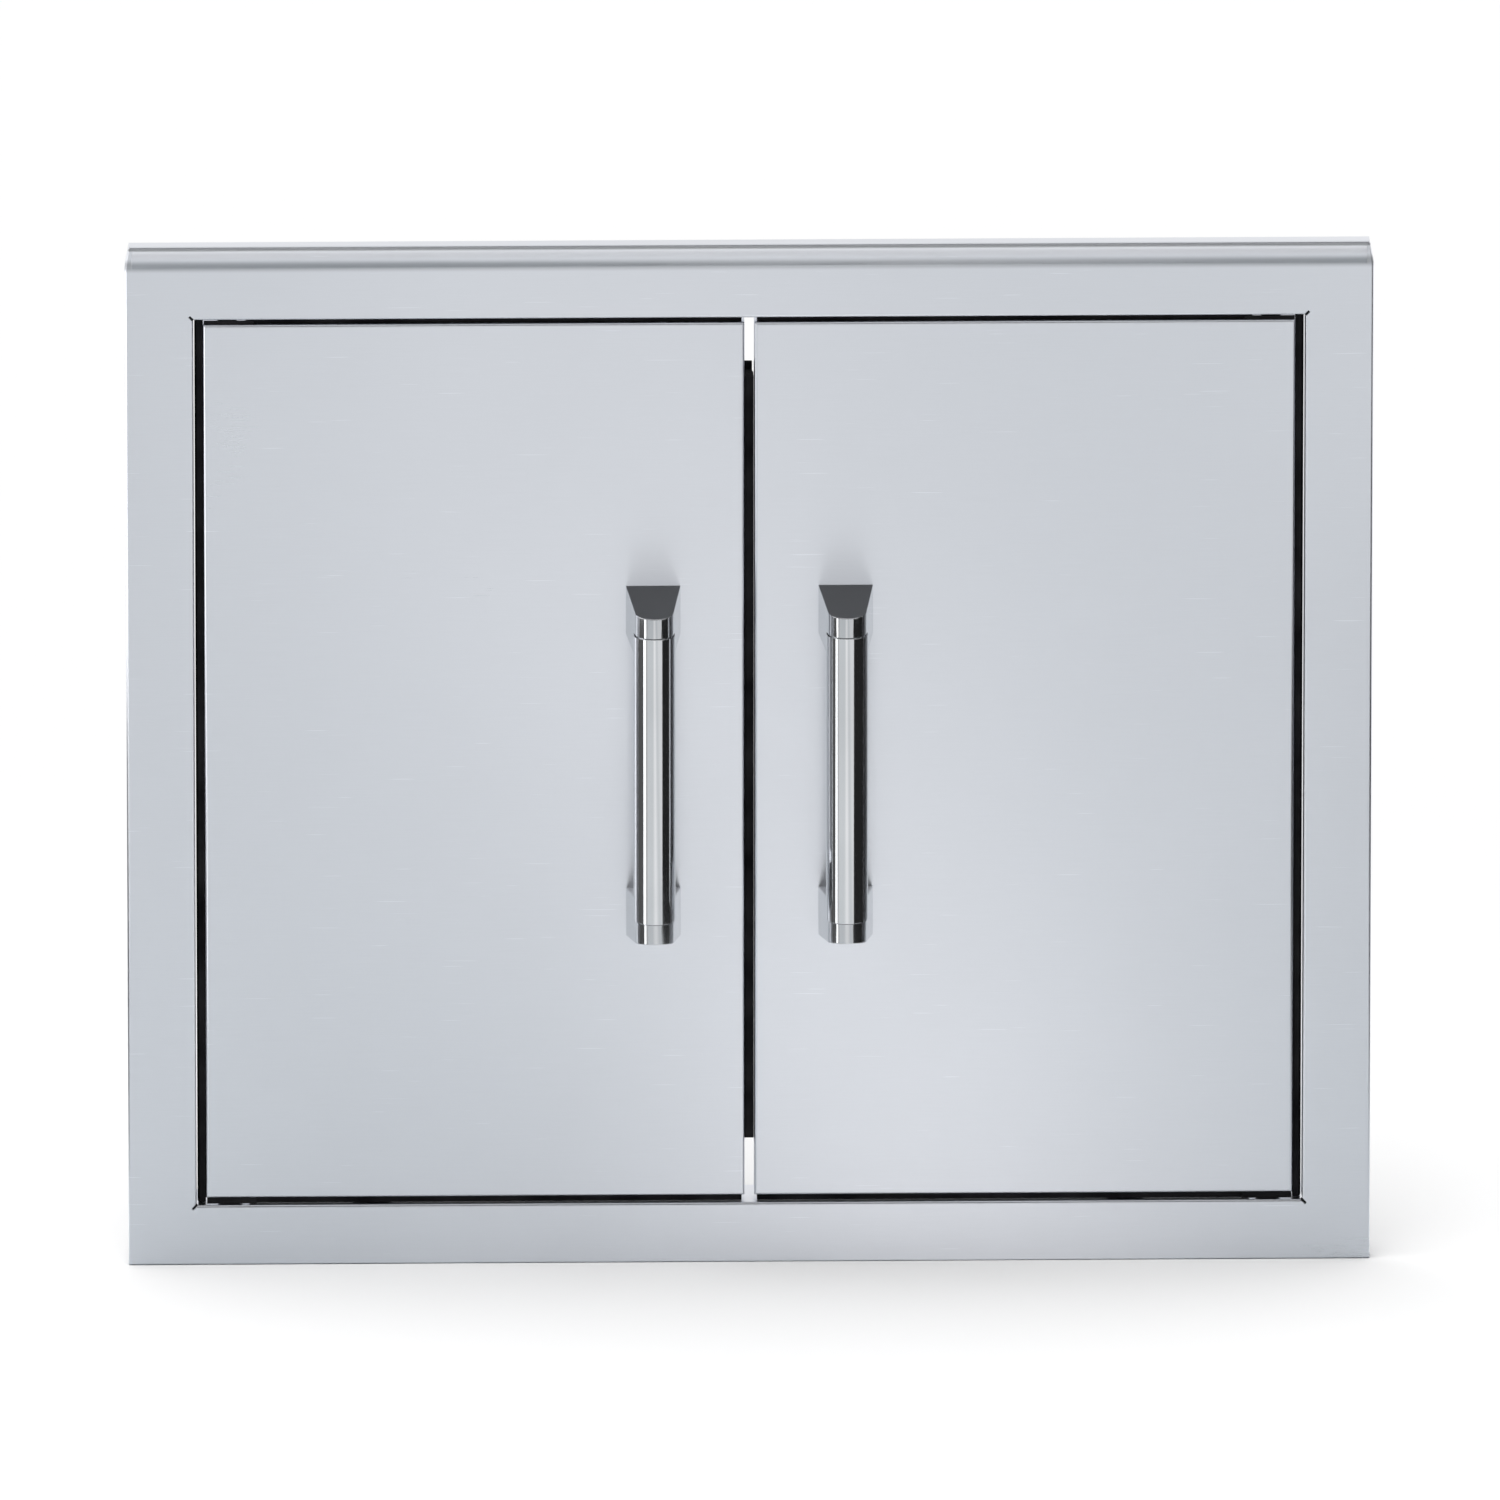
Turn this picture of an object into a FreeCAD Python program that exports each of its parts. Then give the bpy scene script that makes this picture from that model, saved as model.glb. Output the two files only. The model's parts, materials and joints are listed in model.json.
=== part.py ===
"""Two-leaf stainless access door for an outdoor kitchen island, in millimetres.

The frame's bearing lips lie on the plane Y = 0, which is the front of the island's wall.
X runs along the width, Y into the island, Z up, and the origin is the centre of that plane.
"""

import FreeCAD, Part
import math
import os
import Sketcher
from FreeCAD import Placement, Rotation, Vector

SIZES = [
    ("frame_width", 660.4, "overall width of the face frame"),
    ("frame_height", 558.8, "overall height of the face frame"),
    ("frame_depth", 9.5, "front of the face to the wall"),
    ("frame_sheet", 1.2, "sheet of the frame"),
    ("frame_bend", 1.5, "outer radius of the frame's folds"),
    ("lip_width", 12.0, "lip that bears on the wall"),
    ("stile_width", 36.2, "frame edge to opening, left and right"),
    ("top_rail", 40.3, "frame top to opening"),
    ("bottom_rail", 32.9, "frame bottom to opening"),
    ("sleeve_depth", 35.0, "front of the face to the end of the sleeve"),
    ("relief_width", 1.3, "slit where two folds of the opening meet"),
    ("relief_reach", 3.0, "how far the slit runs into the face"),
    ("bead_height", 10.0, "drip bead along the top rail"),
    ("bead_rise", 2.2, "how far the bead stands proud of the face"),
    ("bead_margin", 1.8, "flat between the bead and the top edge"),
    ("bead_root", 2.6, "hollow radius under the bead"),
    ("corner_draw", 2.3, "how far the top corners draw in"),
    ("corner_sweep", 20.0, "radius where the draw starts"),
    ("side_gap", 5.0, "frame to door, hinge side"),
    ("centre_gap", 5.2, "door to door"),
    ("top_gap", 2.5, "door top to frame"),
    ("bottom_gap", 4.0, "door bottom to frame"),
    ("door_depth", 20.0, "thickness of a door"),
    ("door_sheet", 1.2, "sheet of a door skin"),
    ("door_bend", 2.0, "outer radius of the skin's folds"),
    ("door_lip", 14.0, "back lip of the skin"),
    ("hinge_lip", 8.0, "back lip on the hinge side"),
    ("liner_sheet", 1.0, "sheet of the inner panel"),
    ("fit_gap", 0.3, "clearance round pieces that drop into place"),
    ("pivot_inset", 13.0, "pivot axis to the door's hinge edge"),
    ("pivot_setback", 10.0, "pivot axis to the front of the door"),
    ("pin_diameter", 6.0, "hinge pins"),
    ("running_gap", 0.05, "radial clearance of a pin in its bush"),
    ("hole_gap", 0.2, "radial clearance of holes that guide nothing"),
    ("pin_overrun", 1.2, "pin past the pivot plate"),
    ("bush_diameter", 9.0, "neck of a pivot bush"),
    ("bush_flange", 13.0, "flange diameter of a bush"),
    ("bush_flange_thick", 1.5, "flange thickness of an upper bush"),
    ("end_play", 0.1, "gap under the door and at the spring's ends"),
    ("plate_thick", 2.5, "pivot plate on the sleeve"),
    ("plate_width", 26.0, "pivot plate along X"),
    ("plate_front", 7.5, "pivot axis to the plate's front edge"),
    ("plate_back", 19.5, "pivot axis to the plate's back edge"),
    ("bracket_thick", 2.0, "hinge brackets inside the doors"),
    ("bracket_width", 14.0, "hinge bracket along Y"),
    ("bracket_arm", 24.0, "hinge bracket along X"),
    ("bracket_leg", 26.0, "height of the lower bracket"),
    ("pin_travel", 8.0, "stroke of the sprung upper pin"),
    ("clip_thick", 1.0, "retaining clip of the sprung pin"),
    ("clip_width", 10.0, "side of the clip, which is square"),
    ("groove_depth", 0.6, "clip groove in the pin"),
    ("clip_mouth", 4.2, "opening of the clip"),
    ("spring_space", 18.0, "clip to bracket arm at rest"),
    ("spring_wire", 1.0, "wire of the hinge spring"),
    ("spring_mean", 8.6, "mean diameter of the hinge spring"),
    ("spring_turns", 6, "turns of the hinge spring"),
    ("tail_reach", 15.0, "pivot axis to the end of the finger tail"),
    ("tail_width", 8.0, "width of that tail"),
    ("tail_thick", 3.0, "thickness of that tail"),
    ("slot_gap", 0.8, "clearance round the tail in the inner panel"),
    ("head_diameter", 11.0, "head of the fixed lower pin"),
    ("head_thick", 2.5, "thickness of that head"),
    ("handle_inset", 48.4, "handle axis to the door's meeting edge"),
    ("bar_diameter", 22.2, "handle bar"),
    ("bar_wall", 1.5, "wall of the handle bar"),
    ("bar_reach", 45.7, "door face to the front of the bar"),
    ("handle_length", 178.0, "handle over its caps"),
    ("cap_diameter", 20.6, "cap that closes the bar"),
    ("cap_height", 11.0, "visible height of a cap"),
    ("post_width", 29.0, "post at the door, along X"),
    ("post_flare", 7.0, "post at the door past the end of its cap"),
    ("post_foot", 26.4, "height of a post at the door"),
    ("post_neck", 24.0, "height of a post at the bar's front"),
    ("post_edge", 0.5, "bevel on the outer edges of a post"),
    ("spigot_length", 12.0, "plug of the post inside the bar"),
    ("screw_diameter", 6.0, "handle screw"),
    ("screw_length", 15.0, "handle screw inside its post"),
    ("screw_head", 13.0, "flanged head of the handle screw"),
    ("screw_head_thick", 3.0, "height of that head"),
    ("bore_spare", 2.0, "bore of a post past its screw"),
    ("catch_offset", 62.0, "magnetic catch to the centre line"),
    ("catch_width", 30.0, "body of the catch along X"),
    ("catch_depth", 12.0, "body of the catch along Y"),
    ("catch_height", 13.0, "body of the catch along Z"),
    ("ear_width", 8.0, "screw ear of the catch"),
    ("ear_thick", 3.0, "thickness of that ear"),
    ("magnet_width", 26.0, "magnet along X"),
    ("magnet_thick", 4.0, "magnet along Z"),
    ("magnet_depth", 8.0, "magnet along Y"),
    ("pole_thick", 1.2, "pole plates beside the magnet"),
    ("pole_proud", 0.6, "pole plates past the catch body"),
    ("air_gap", 0.3, "closed door to what stops it"),
    ("catch_screw", 3.0, "screw of the catch"),
    ("catch_screw_head", 5.6, "head of that screw"),
    ("catch_screw_head_thick", 1.9, "height of that head"),
    ("catch_screw_tip", 2.0, "that screw past the sleeve"),
    ("strike_width", 42.0, "strike plate along X"),
    ("strike_height", 9.0, "strike plate along Z"),
    ("strike_thick", 1.5, "thickness of the strike plate"),
    ("stop_offset", 200.0, "lower stop to the centre line"),
    ("stop_width", 20.0, "stop bracket along X"),
    ("stop_height", 14.0, "stop bracket along Z"),
    ("stop_foot", 9.0, "foot of the stop bracket along Y"),
    ("stop_thick", 1.5, "sheet of the stop bracket"),
    ("bumper_width", 14.0, "rubber pad along X"),
    ("bumper_height", 8.0, "rubber pad along Z"),
    ("bumper_thick", 3.0, "rubber in front of the bracket"),
    ("seal_short", 26.35, "end of a door to the end of the seal"),
    ("seal_base", 11.4, "seal on the left door's back"),
    ("seal_base_thick", 2.2, "thickness of that base"),
    ("seal_nose_gap", 0.3, "seal nose to the right door"),
    ("seal_root_gap", 0.8, "seal root to the right door"),
    ("seal_nose_depth", 10.0, "nose along Y, centred on the pivot plane"),
    ("seal_end_step", 4.0, "nose shorter than the base at each end"),
    ("edge_seal_setback", 3.0, "front of the door to its top and bottom seals"),
    ("edge_seal_width", 6.0, "top and bottom seals along Y"),
    ("edge_seal_clear", 0.6, "edge seals to the sleeve"),
    ("edge_seal_end", 1.5, "end of an edge seal to the door's edge"),
    ("edge_seal_pivot", 10.0, "end of the top and bottom seals to the pivot axis"),
    ("hinge_seal_width", 11.0, "seal of the hinge side along Y, centred on the pivot"),
    ("hinge_seal_flat", 5.0, "flat tip of that seal along Y"),
    ("hinge_seal_taper", 1.0, "tip of that seal past its shoulders"),
    ("mount_spacing", 300.0, "mounting holes on a side of the sleeve"),
    ("mount_setback", 27.5, "mounting holes behind the face"),
    ("mount_hole", 5.0, "mounting holes"),
    ("overcut", 1.0, "how far a cut starts or ends outside what it cuts"),
]

doc = FreeCAD.newDocument("AccessDoor")
sheet = doc.addObject("Spreadsheet::Sheet", "Sizes")
for row, (alias, size, note) in enumerate(SIZES, start=1):
    sheet.set(f"A{row}", note)
    sheet.set(f"B{row}", str(size))
    sheet.setAlias(f"B{row}", alias)
doc.recompute()

# Places that several pieces share, as formulas on the sheet.
FRONT = "(-Sizes.frame_depth)"
SLEEVE_END = "(Sizes.sleeve_depth - Sizes.frame_depth)"
FRAME_HALF = "(Sizes.frame_width / 2)"
FRAME_TOP = "(Sizes.frame_height / 2)"
FRAME_BOTTOM = "(-Sizes.frame_height / 2)"
OPEN_HALF = "(Sizes.frame_width / 2 - Sizes.stile_width)"
OPEN_TOP = "(Sizes.frame_height / 2 - Sizes.top_rail)"
OPEN_BOTTOM = "(Sizes.bottom_rail - Sizes.frame_height / 2)"
DOOR_TOP = f"({OPEN_TOP} - Sizes.top_gap)"
DOOR_BOTTOM = f"({OPEN_BOTTOM} + Sizes.bottom_gap)"
DOOR_MIDDLE = f"(({DOOR_TOP} + {DOOR_BOTTOM}) / 2)"
DOOR_FREE = "(Sizes.centre_gap / 2)"
DOOR_HINGE = f"({OPEN_HALF} - Sizes.side_gap)"
DOOR_BACK = f"({FRONT} + Sizes.door_depth)"
SKIN_INSIDE = f"({FRONT} + Sizes.door_sheet)"
LINER_BACK = f"({DOOR_BACK} - Sizes.door_sheet)"
PIVOT_X = f"({DOOR_HINGE} - Sizes.pivot_inset)"
PIVOT_Y = f"({FRONT} + Sizes.pivot_setback)"
PIN_RADIUS = "(Sizes.pin_diameter / 2)"
BORE_RADIUS = "(Sizes.pin_diameter / 2 + Sizes.running_gap)"
GUIDE_RADIUS = "(Sizes.pin_diameter / 2 + Sizes.hole_gap)"
BUSH_HOLE = "(Sizes.bush_diameter / 2 + Sizes.running_gap)"
HANDLE_X = f"({DOOR_FREE} + Sizes.handle_inset)"
BAR_AXIS = "(Sizes.bar_reach - Sizes.bar_diameter / 2)"
POST_HIGH = "(Sizes.handle_length / 2 + Sizes.post_flare)"
POST_MIDDLE = f"({POST_HIGH} - Sizes.post_foot / 2)"
CLIP_TOP = "(-Sizes.door_sheet - Sizes.fit_gap)"
CLIP_BOTTOM = f"({CLIP_TOP} - Sizes.clip_thick)"
ARM_TOP = f"({CLIP_BOTTOM} - Sizes.spring_space)"
TAIL_TOP = f"({ARM_TOP} - Sizes.bracket_thick - Sizes.fit_gap)"
TAIL_BOTTOM = f"({TAIL_TOP} - Sizes.tail_thick)"
STRIKE_Z = f"({OPEN_TOP} - Sizes.catch_height / 2 - Sizes.ear_thick / 2)"
CATCH_SCREW_HOLE = "(Sizes.catch_screw / 2 + Sizes.running_gap)"
POLE_FRONT = f"({DOOR_BACK} + Sizes.strike_thick + Sizes.air_gap)"
CATCH_FRONT = f"({POLE_FRONT} + Sizes.pole_proud)"
STOP_FACE = f"({DOOR_BACK} + Sizes.air_gap + Sizes.bumper_thick)"
SEAL_HALF = f"(({DOOR_TOP} - {DOOR_BOTTOM}) / 2 - Sizes.seal_short)"

# The hinge springs are drawn in flat facets, mitred where they meet.
FACETS_PER_TURN = 10
WIRE_FACETS = 6
MITRED = 1

LEFT = ("left", "-1")
RIGHT = ("right", "1")
nodes = []


def number(formula):
    """The value of a formula at the present sizes."""
    return float(sheet.evalExpression(str(formula)))


def new_body(label):
    body = doc.addObject("PartDesign::Body", label)
    body.Label = label
    nodes.append(body)
    return body


def place(body, x="0", y="0", z="0", rotation=None):
    """Puts a body at formulas for X, Y and Z, turned by a fixed rotation."""
    if rotation is not None:
        body.Placement = Placement(Vector(0, 0, 0), rotation)
    for axis, formula in zip("xyz", (x, y, z)):
        body.setExpression(f"Placement.Base.{axis}", formula)


def new_sketch(body, name, plane, offset):
    """A sketch on one of the body's own planes, moved along the plane's normal.

    The XZ plane's normal is -Y, so a place along Y is its negative there.
    """
    sketch = body.newObject("Sketcher::SketchObject", f"{body.Label}_{name}")
    support = next(f for f in body.Origin.OriginFeatures if f.Role == plane)
    sketch.AttachmentSupport = [(support, "")]
    sketch.MapMode = "FlatFace"
    formula = f"-({offset})" if plane == "XZ_Plane" else f"({offset})"
    sketch.setExpression("AttachmentOffset.Base.z", formula)
    return sketch


def bind_point(sketch, line, end, x, y):
    """Ties one end of a line to formulas for both of its coordinates."""
    for kind, formula in (("DistanceX", x), ("DistanceY", y)):
        rule = Sketcher.Constraint(kind, -1, 1, line, end, number(formula))
        index = sketch.addConstraint(rule)
        sketch.setExpression(f"Constraints[{index}]", formula)


def add_loop(sketch, points):
    """A closed polygon through points given as pairs of formulas."""
    start = sketch.GeometryCount
    corners = [Vector(number(x), number(y), 0) for x, y in points]
    count = len(corners)
    for i in range(count):
        sketch.addGeometry(Part.LineSegment(corners[i], corners[(i + 1) % count]), False)
    for i in range(count):
        following = start + (i + 1) % count
        sketch.addConstraint(Sketcher.Constraint("Coincident", start + i, 2, following, 1))
    for i, (x, y) in enumerate(points):
        bind_point(sketch, start + i, 1, x, y)


def add_circle(sketch, x, y, radius):
    index = sketch.GeometryCount
    centre = Vector(number(x), number(y), 0)
    sketch.addGeometry(Part.Circle(centre, Vector(0, 0, 1), number(radius)), False)
    bind_point(sketch, index, 3, x, y)
    rule = sketch.addConstraint(Sketcher.Constraint("Radius", index, number(radius)))
    sketch.setExpression(f"Constraints[{rule}]", radius)


def add_segment(sketch, x, low, high, radius):
    """A circular segment bulging to -x from the chord at x between low and high."""
    chord_x, z_low, z_high, r = (number(f) for f in (x, low, high, radius))
    half = (z_high - z_low) / 2
    centre_x = chord_x + math.sqrt(r * r - half * half)
    angle = math.asin(half / r)
    middle = (z_low + z_high) / 2
    circle = Part.Circle(Vector(centre_x, middle, 0), Vector(0, 0, 1), r)
    sketch.addGeometry(Part.ArcOfCircle(circle, math.pi - angle, math.pi + angle), False)
    ends = (Vector(chord_x, z_low, 0), Vector(chord_x, z_high, 0))
    sketch.addGeometry(Part.LineSegment(*ends), False)
    sketch.addConstraint(Sketcher.Constraint("Coincident", 0, 2, 1, 1))
    sketch.addConstraint(Sketcher.Constraint("Coincident", 0, 1, 1, 2))
    bind_point(sketch, 1, 1, x, low)
    bind_point(sketch, 1, 2, x, high)
    rule = sketch.addConstraint(Sketcher.Constraint("Radius", 0, r))
    sketch.setExpression(f"Constraints[{rule}]", radius)


def rectangle(x0, x1, y0, y1):
    return [(x0, y0), (x1, y0), (x1, y1), (x0, y1)]


def add_pad(body, sketch, length, reverse=False, symmetric=False):
    """Adds material along the sketch's normal, or against it where reverse is set."""
    pad = body.newObject("PartDesign::Pad", f"{sketch.Label}_pad")
    pad.Profile = sketch
    pad.setExpression("Length", length)
    pad.Reversed = reverse
    if symmetric:
        pad.SideType = "Symmetric"
    return pad


def add_pocket(body, sketch, depth, reverse=False, symmetric=False):
    """Cuts against the sketch's normal, or along it where reverse is set."""
    doc.recompute()
    before = body.Shape.Volume
    pocket = body.newObject("PartDesign::Pocket", f"{sketch.Label}_cut")
    pocket.Profile = sketch
    pocket.setExpression("Length", depth)
    pocket.Reversed = reverse
    if symmetric:
        pocket.SideType = "Symmetric"
    doc.recompute()
    if not body.Shape.Volume < before - 1e-6:
        raise ValueError(f"{pocket.Label} cuts nothing")
    return pocket


def add_fillet(body, name, size, test, kind="Fillet"):
    """Rounds or chamfers the edges of the body's last feature that pass the test."""
    doc.recompute()
    base = body.Tip
    edges = [f"Edge{i}" for i, edge in enumerate(base.Shape.Edges, 1) if test(edge)]
    if not edges:
        raise ValueError(f"{body.Label} has no edge for {name}")
    worked = body.newObject(f"PartDesign::{kind}", f"{body.Label}_{name}")
    worked.Base = (base, edges)
    worked.setExpression("Radius" if kind == "Fillet" else "Size", size)
    doc.recompute()


def add_turning(body, name, points):
    """Turns a profile in the XZ plane about the body's Z axis."""
    sketch = new_sketch(body, name, "XZ_Plane", "0")
    add_loop(sketch, points)
    turned = body.newObject("PartDesign::Revolution", f"{sketch.Label}_turn")
    turned.Profile = sketch
    turned.ReferenceAxis = (sketch, ["V_Axis"])
    turned.Angle = 360


def on_plane(axis, formula):
    """A test for edges that lie wholly on a plane square to the axis."""
    level = number(formula)

    def test(edge):
        box = edge.BoundBox
        low, high = getattr(box, f"{axis}Min"), getattr(box, f"{axis}Max")
        return abs(low - level) < 0.01 and abs(high - level) < 0.01

    return test


def stud_group(label, plane, seat, spots, shank, head, headward, bore=None):
    """Alike headed pieces in one node: heads on the seat, shanks the other way.

    shank and head are each a diameter and a length. headward is True where the heads
    stand along the plane's normal, and bore is the radius of a hole right through.
    """
    body = new_body(label)
    body.AllowCompound = True
    for name, (diameter, length), reverse in (
        ("shanks", shank, headward),
        ("heads", head, not headward),
    ):
        sketch = new_sketch(body, name, plane, seat)
        for x, y in spots:
            add_circle(sketch, x, y, f"({diameter}) / 2")
            if bore:
                add_circle(sketch, x, y, bore)
        add_pad(body, sketch, length, reverse=reverse)


def make_face_frame():
    """Face, outer returns, wall lips and the sleeve round the opening, folded from sheet."""
    body = new_body("face_frame")
    bead_top = f"({FRAME_TOP} - Sizes.bead_margin)"
    bead_bottom = f"({bead_top} - Sizes.bead_height)"

    def outline(name, at, inset):
        half = f"({FRAME_HALF} - {inset})"
        drawn = f"({FRAME_HALF} - Sizes.corner_draw - {inset})"
        low = f"({FRAME_BOTTOM} + {inset})"
        high = f"({FRAME_TOP} - {inset})"
        sketch = new_sketch(body, name, "XZ_Plane", at)
        shoulder = bead_bottom
        points = [(f"-{half}", low), (half, low), (half, shoulder)]
        points += [(drawn, high), (f"-{drawn}", high), (f"-{half}", shoulder)]
        add_loop(sketch, points)
        return sketch

    add_pad(body, outline("face", "0", "0"), "Sizes.frame_depth")
    shoulder_z = number(bead_bottom)
    half_width = number(FRAME_HALF)

    def at_shoulder(edge):
        box = edge.BoundBox
        same_height = abs(box.ZMin - shoulder_z) < 0.01 and abs(box.ZMax - shoulder_z) < 0.01
        return same_height and abs(abs(box.XMin) - half_width) < 0.01

    add_fillet(body, "sweep", "Sizes.corner_sweep", at_shoulder)
    add_fillet(body, "folds", "Sizes.frame_bend", on_plane("Y", FRONT))

    bead = new_sketch(body, "bead", "YZ_Plane", "0")
    rise = "Sizes.bead_rise"
    radius = f"((Sizes.bead_height ^ 2 / 4 + {rise} ^ 2) / (2 * {rise}))"
    add_segment(bead, FRONT, bead_bottom, bead_top, radius)
    length = "(Sizes.frame_width - 2 * Sizes.corner_draw - 2 * Sizes.frame_bend)"
    add_pad(body, bead, length, symmetric=True)
    at_root = on_plane("Z", bead_bottom)
    at_front = on_plane("Y", FRONT)
    long_enough = number(length) / 2
    add_fillet(
        body,
        "bead_root",
        "Sizes.bead_root",
        lambda edge: at_root(edge) and at_front(edge) and edge.Length > long_enough,
    )

    window = new_sketch(body, "window", "XZ_Plane", "0")
    half = f"({FRAME_HALF} - Sizes.lip_width)"
    low = f"({FRAME_BOTTOM} + Sizes.lip_width)"
    high = f"({FRAME_TOP} - Sizes.lip_width)"
    add_loop(window, rectangle(f"-{half}", half, low, high))
    add_pocket(body, window, "Sizes.frame_sheet", reverse=True)
    tray = outline("tray", "-Sizes.frame_sheet", "Sizes.frame_sheet")
    add_pocket(body, tray, "Sizes.frame_depth - 2 * Sizes.frame_sheet", reverse=True)

    hollow = new_sketch(body, "hollow", "YZ_Plane", "0")
    inner = f"({radius} - Sizes.frame_sheet)"
    inset = f"({radius} - {rise} - Sizes.frame_sheet)"
    half_chord = f"sqrt({inner} ^ 2 - {inset} ^ 2)"
    middle = f"(({bead_top} + {bead_bottom}) / 2)"
    chord = (f"({middle} - {half_chord})", f"({middle} + {half_chord})")
    add_segment(hollow, f"({FRONT} + Sizes.frame_sheet)", *chord, inner)
    add_pocket(body, hollow, f"{length} - 2 * Sizes.frame_sheet", symmetric=True)

    sleeve = new_sketch(body, "sleeve", "XZ_Plane", f"({FRONT} + Sizes.frame_sheet / 2)")
    half = f"({OPEN_HALF} + Sizes.frame_sheet)"
    low = f"({OPEN_BOTTOM} - Sizes.frame_sheet)"
    high = f"({OPEN_TOP} + Sizes.frame_sheet)"
    add_loop(sleeve, rectangle(f"-{half}", half, low, high))
    add_pad(body, sleeve, "Sizes.sleeve_depth - Sizes.frame_sheet / 2", reverse=True)
    opening = new_sketch(body, "opening", "XZ_Plane", SLEEVE_END)
    edges = rectangle(f"-{OPEN_HALF}", OPEN_HALF, OPEN_BOTTOM, OPEN_TOP)
    add_loop(opening, edges)
    add_pocket(body, opening, "Sizes.sleeve_depth + Sizes.overcut", reverse=True)

    opening_half = number(OPEN_HALF)
    add_fillet(
        body,
        "opening_folds",
        "Sizes.frame_bend",
        lambda edge: at_front(edge) and max(abs(edge.BoundBox.XMin), abs(edge.BoundBox.XMax))
        < opening_half + 0.01,
    )

    reliefs = new_sketch(body, "reliefs", "XZ_Plane", f"({FRONT} - Sizes.frame_sheet)")
    out = "(Sizes.relief_reach / sqrt(2))"
    side = "(Sizes.relief_width / 2 / sqrt(2))"
    inner = "(-Sizes.overcut)"
    for x_sign, corner_z, z_sign in (
        ("-1", OPEN_BOTTOM, "-1"),
        ("1", OPEN_BOTTOM, "-1"),
        ("1", OPEN_TOP, "1"),
        ("-1", OPEN_TOP, "1"),
    ):
        corner_x = f"{x_sign} * {OPEN_HALF}"
        points = []
        for along, across in ((inner, "-1"), (out, "-1"), (out, "1"), (inner, "1")):
            x = f"({corner_x} + {x_sign} * ({along} - {across} * {side}))"
            z = f"({corner_z} + {z_sign} * ({along} + {across} * {side}))"
            points.append((x, z))
        add_loop(reliefs, points)
    add_pocket(body, reliefs, "Sizes.sleeve_depth + 2 * Sizes.frame_sheet")

    upper = new_sketch(body, "upper_holes", "XY_Plane", f"({OPEN_TOP} + Sizes.plate_thick)")
    lower = new_sketch(body, "lower_holes", "XY_Plane", f"({OPEN_BOTTOM} + Sizes.overcut)")
    for sketch in (upper, lower):
        for sign in ("-1", "1"):
            add_circle(sketch, f"{sign} * {PIVOT_X}", PIVOT_Y, BUSH_HOLE)
    for x, y in catch_screw_spots():
        add_circle(upper, x, y, CATCH_SCREW_HOLE)
    add_pocket(body, upper, "Sizes.plate_thick + Sizes.overcut")
    add_pocket(body, lower, "Sizes.frame_sheet + 2 * Sizes.overcut")

    side_holes = new_sketch(body, "side_holes", "YZ_Plane", "0")
    for sign in ("-1", "1"):
        y = f"({FRONT} + Sizes.mount_setback)"
        z = f"({DOOR_MIDDLE} + {sign} * Sizes.mount_spacing / 2)"
        add_circle(side_holes, y, z, "Sizes.mount_hole / 2")
    add_pocket(body, side_holes, "Sizes.frame_width", symmetric=True)


def make_pivot_plates(level):
    """Two plates welded to the thin sleeve, where the pivot bushes of one level pass."""
    body = new_body(f"{level}_pivot_plates")
    body.AllowCompound = True
    upper = level == "upper"
    seat = f"({OPEN_TOP} + Sizes.frame_sheet)" if upper else f"({OPEN_BOTTOM} - Sizes.frame_sheet)"
    sketch = new_sketch(body, "blanks", "XY_Plane", seat)
    near, far = f"({PIVOT_Y} - Sizes.plate_front)", f"({PIVOT_Y} + Sizes.plate_back)"
    for sign in ("-1", "1"):
        sides = (f"({sign} * {PIVOT_X} + {half} * Sizes.plate_width)" for half in ("-0.5", "0.5"))
        add_loop(sketch, rectangle(*sides, near, far))
        add_circle(sketch, f"{sign} * {PIVOT_X}", PIVOT_Y, BUSH_HOLE)
    add_pad(body, sketch, "Sizes.plate_thick", reverse=not upper)


def make_pivot_bushes(level):
    """Flanged nylon bushes, their flanges inside the opening. The lower ones carry the doors."""
    upper = level == "upper"
    flange = "Sizes.bush_flange_thick" if upper else "Sizes.bottom_gap - Sizes.end_play"
    stud_group(
        f"{level}_pivot_bushes",
        "XY_Plane",
        OPEN_TOP if upper else OPEN_BOTTOM,
        [(f"{sign} * {PIVOT_X}", PIVOT_Y) for sign in ("-1", "1")],
        ("Sizes.bush_diameter", "Sizes.frame_sheet + Sizes.plate_thick"),
        ("Sizes.bush_flange", flange),
        headward=not upper,
        bore=BORE_RADIUS,
    )


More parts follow.
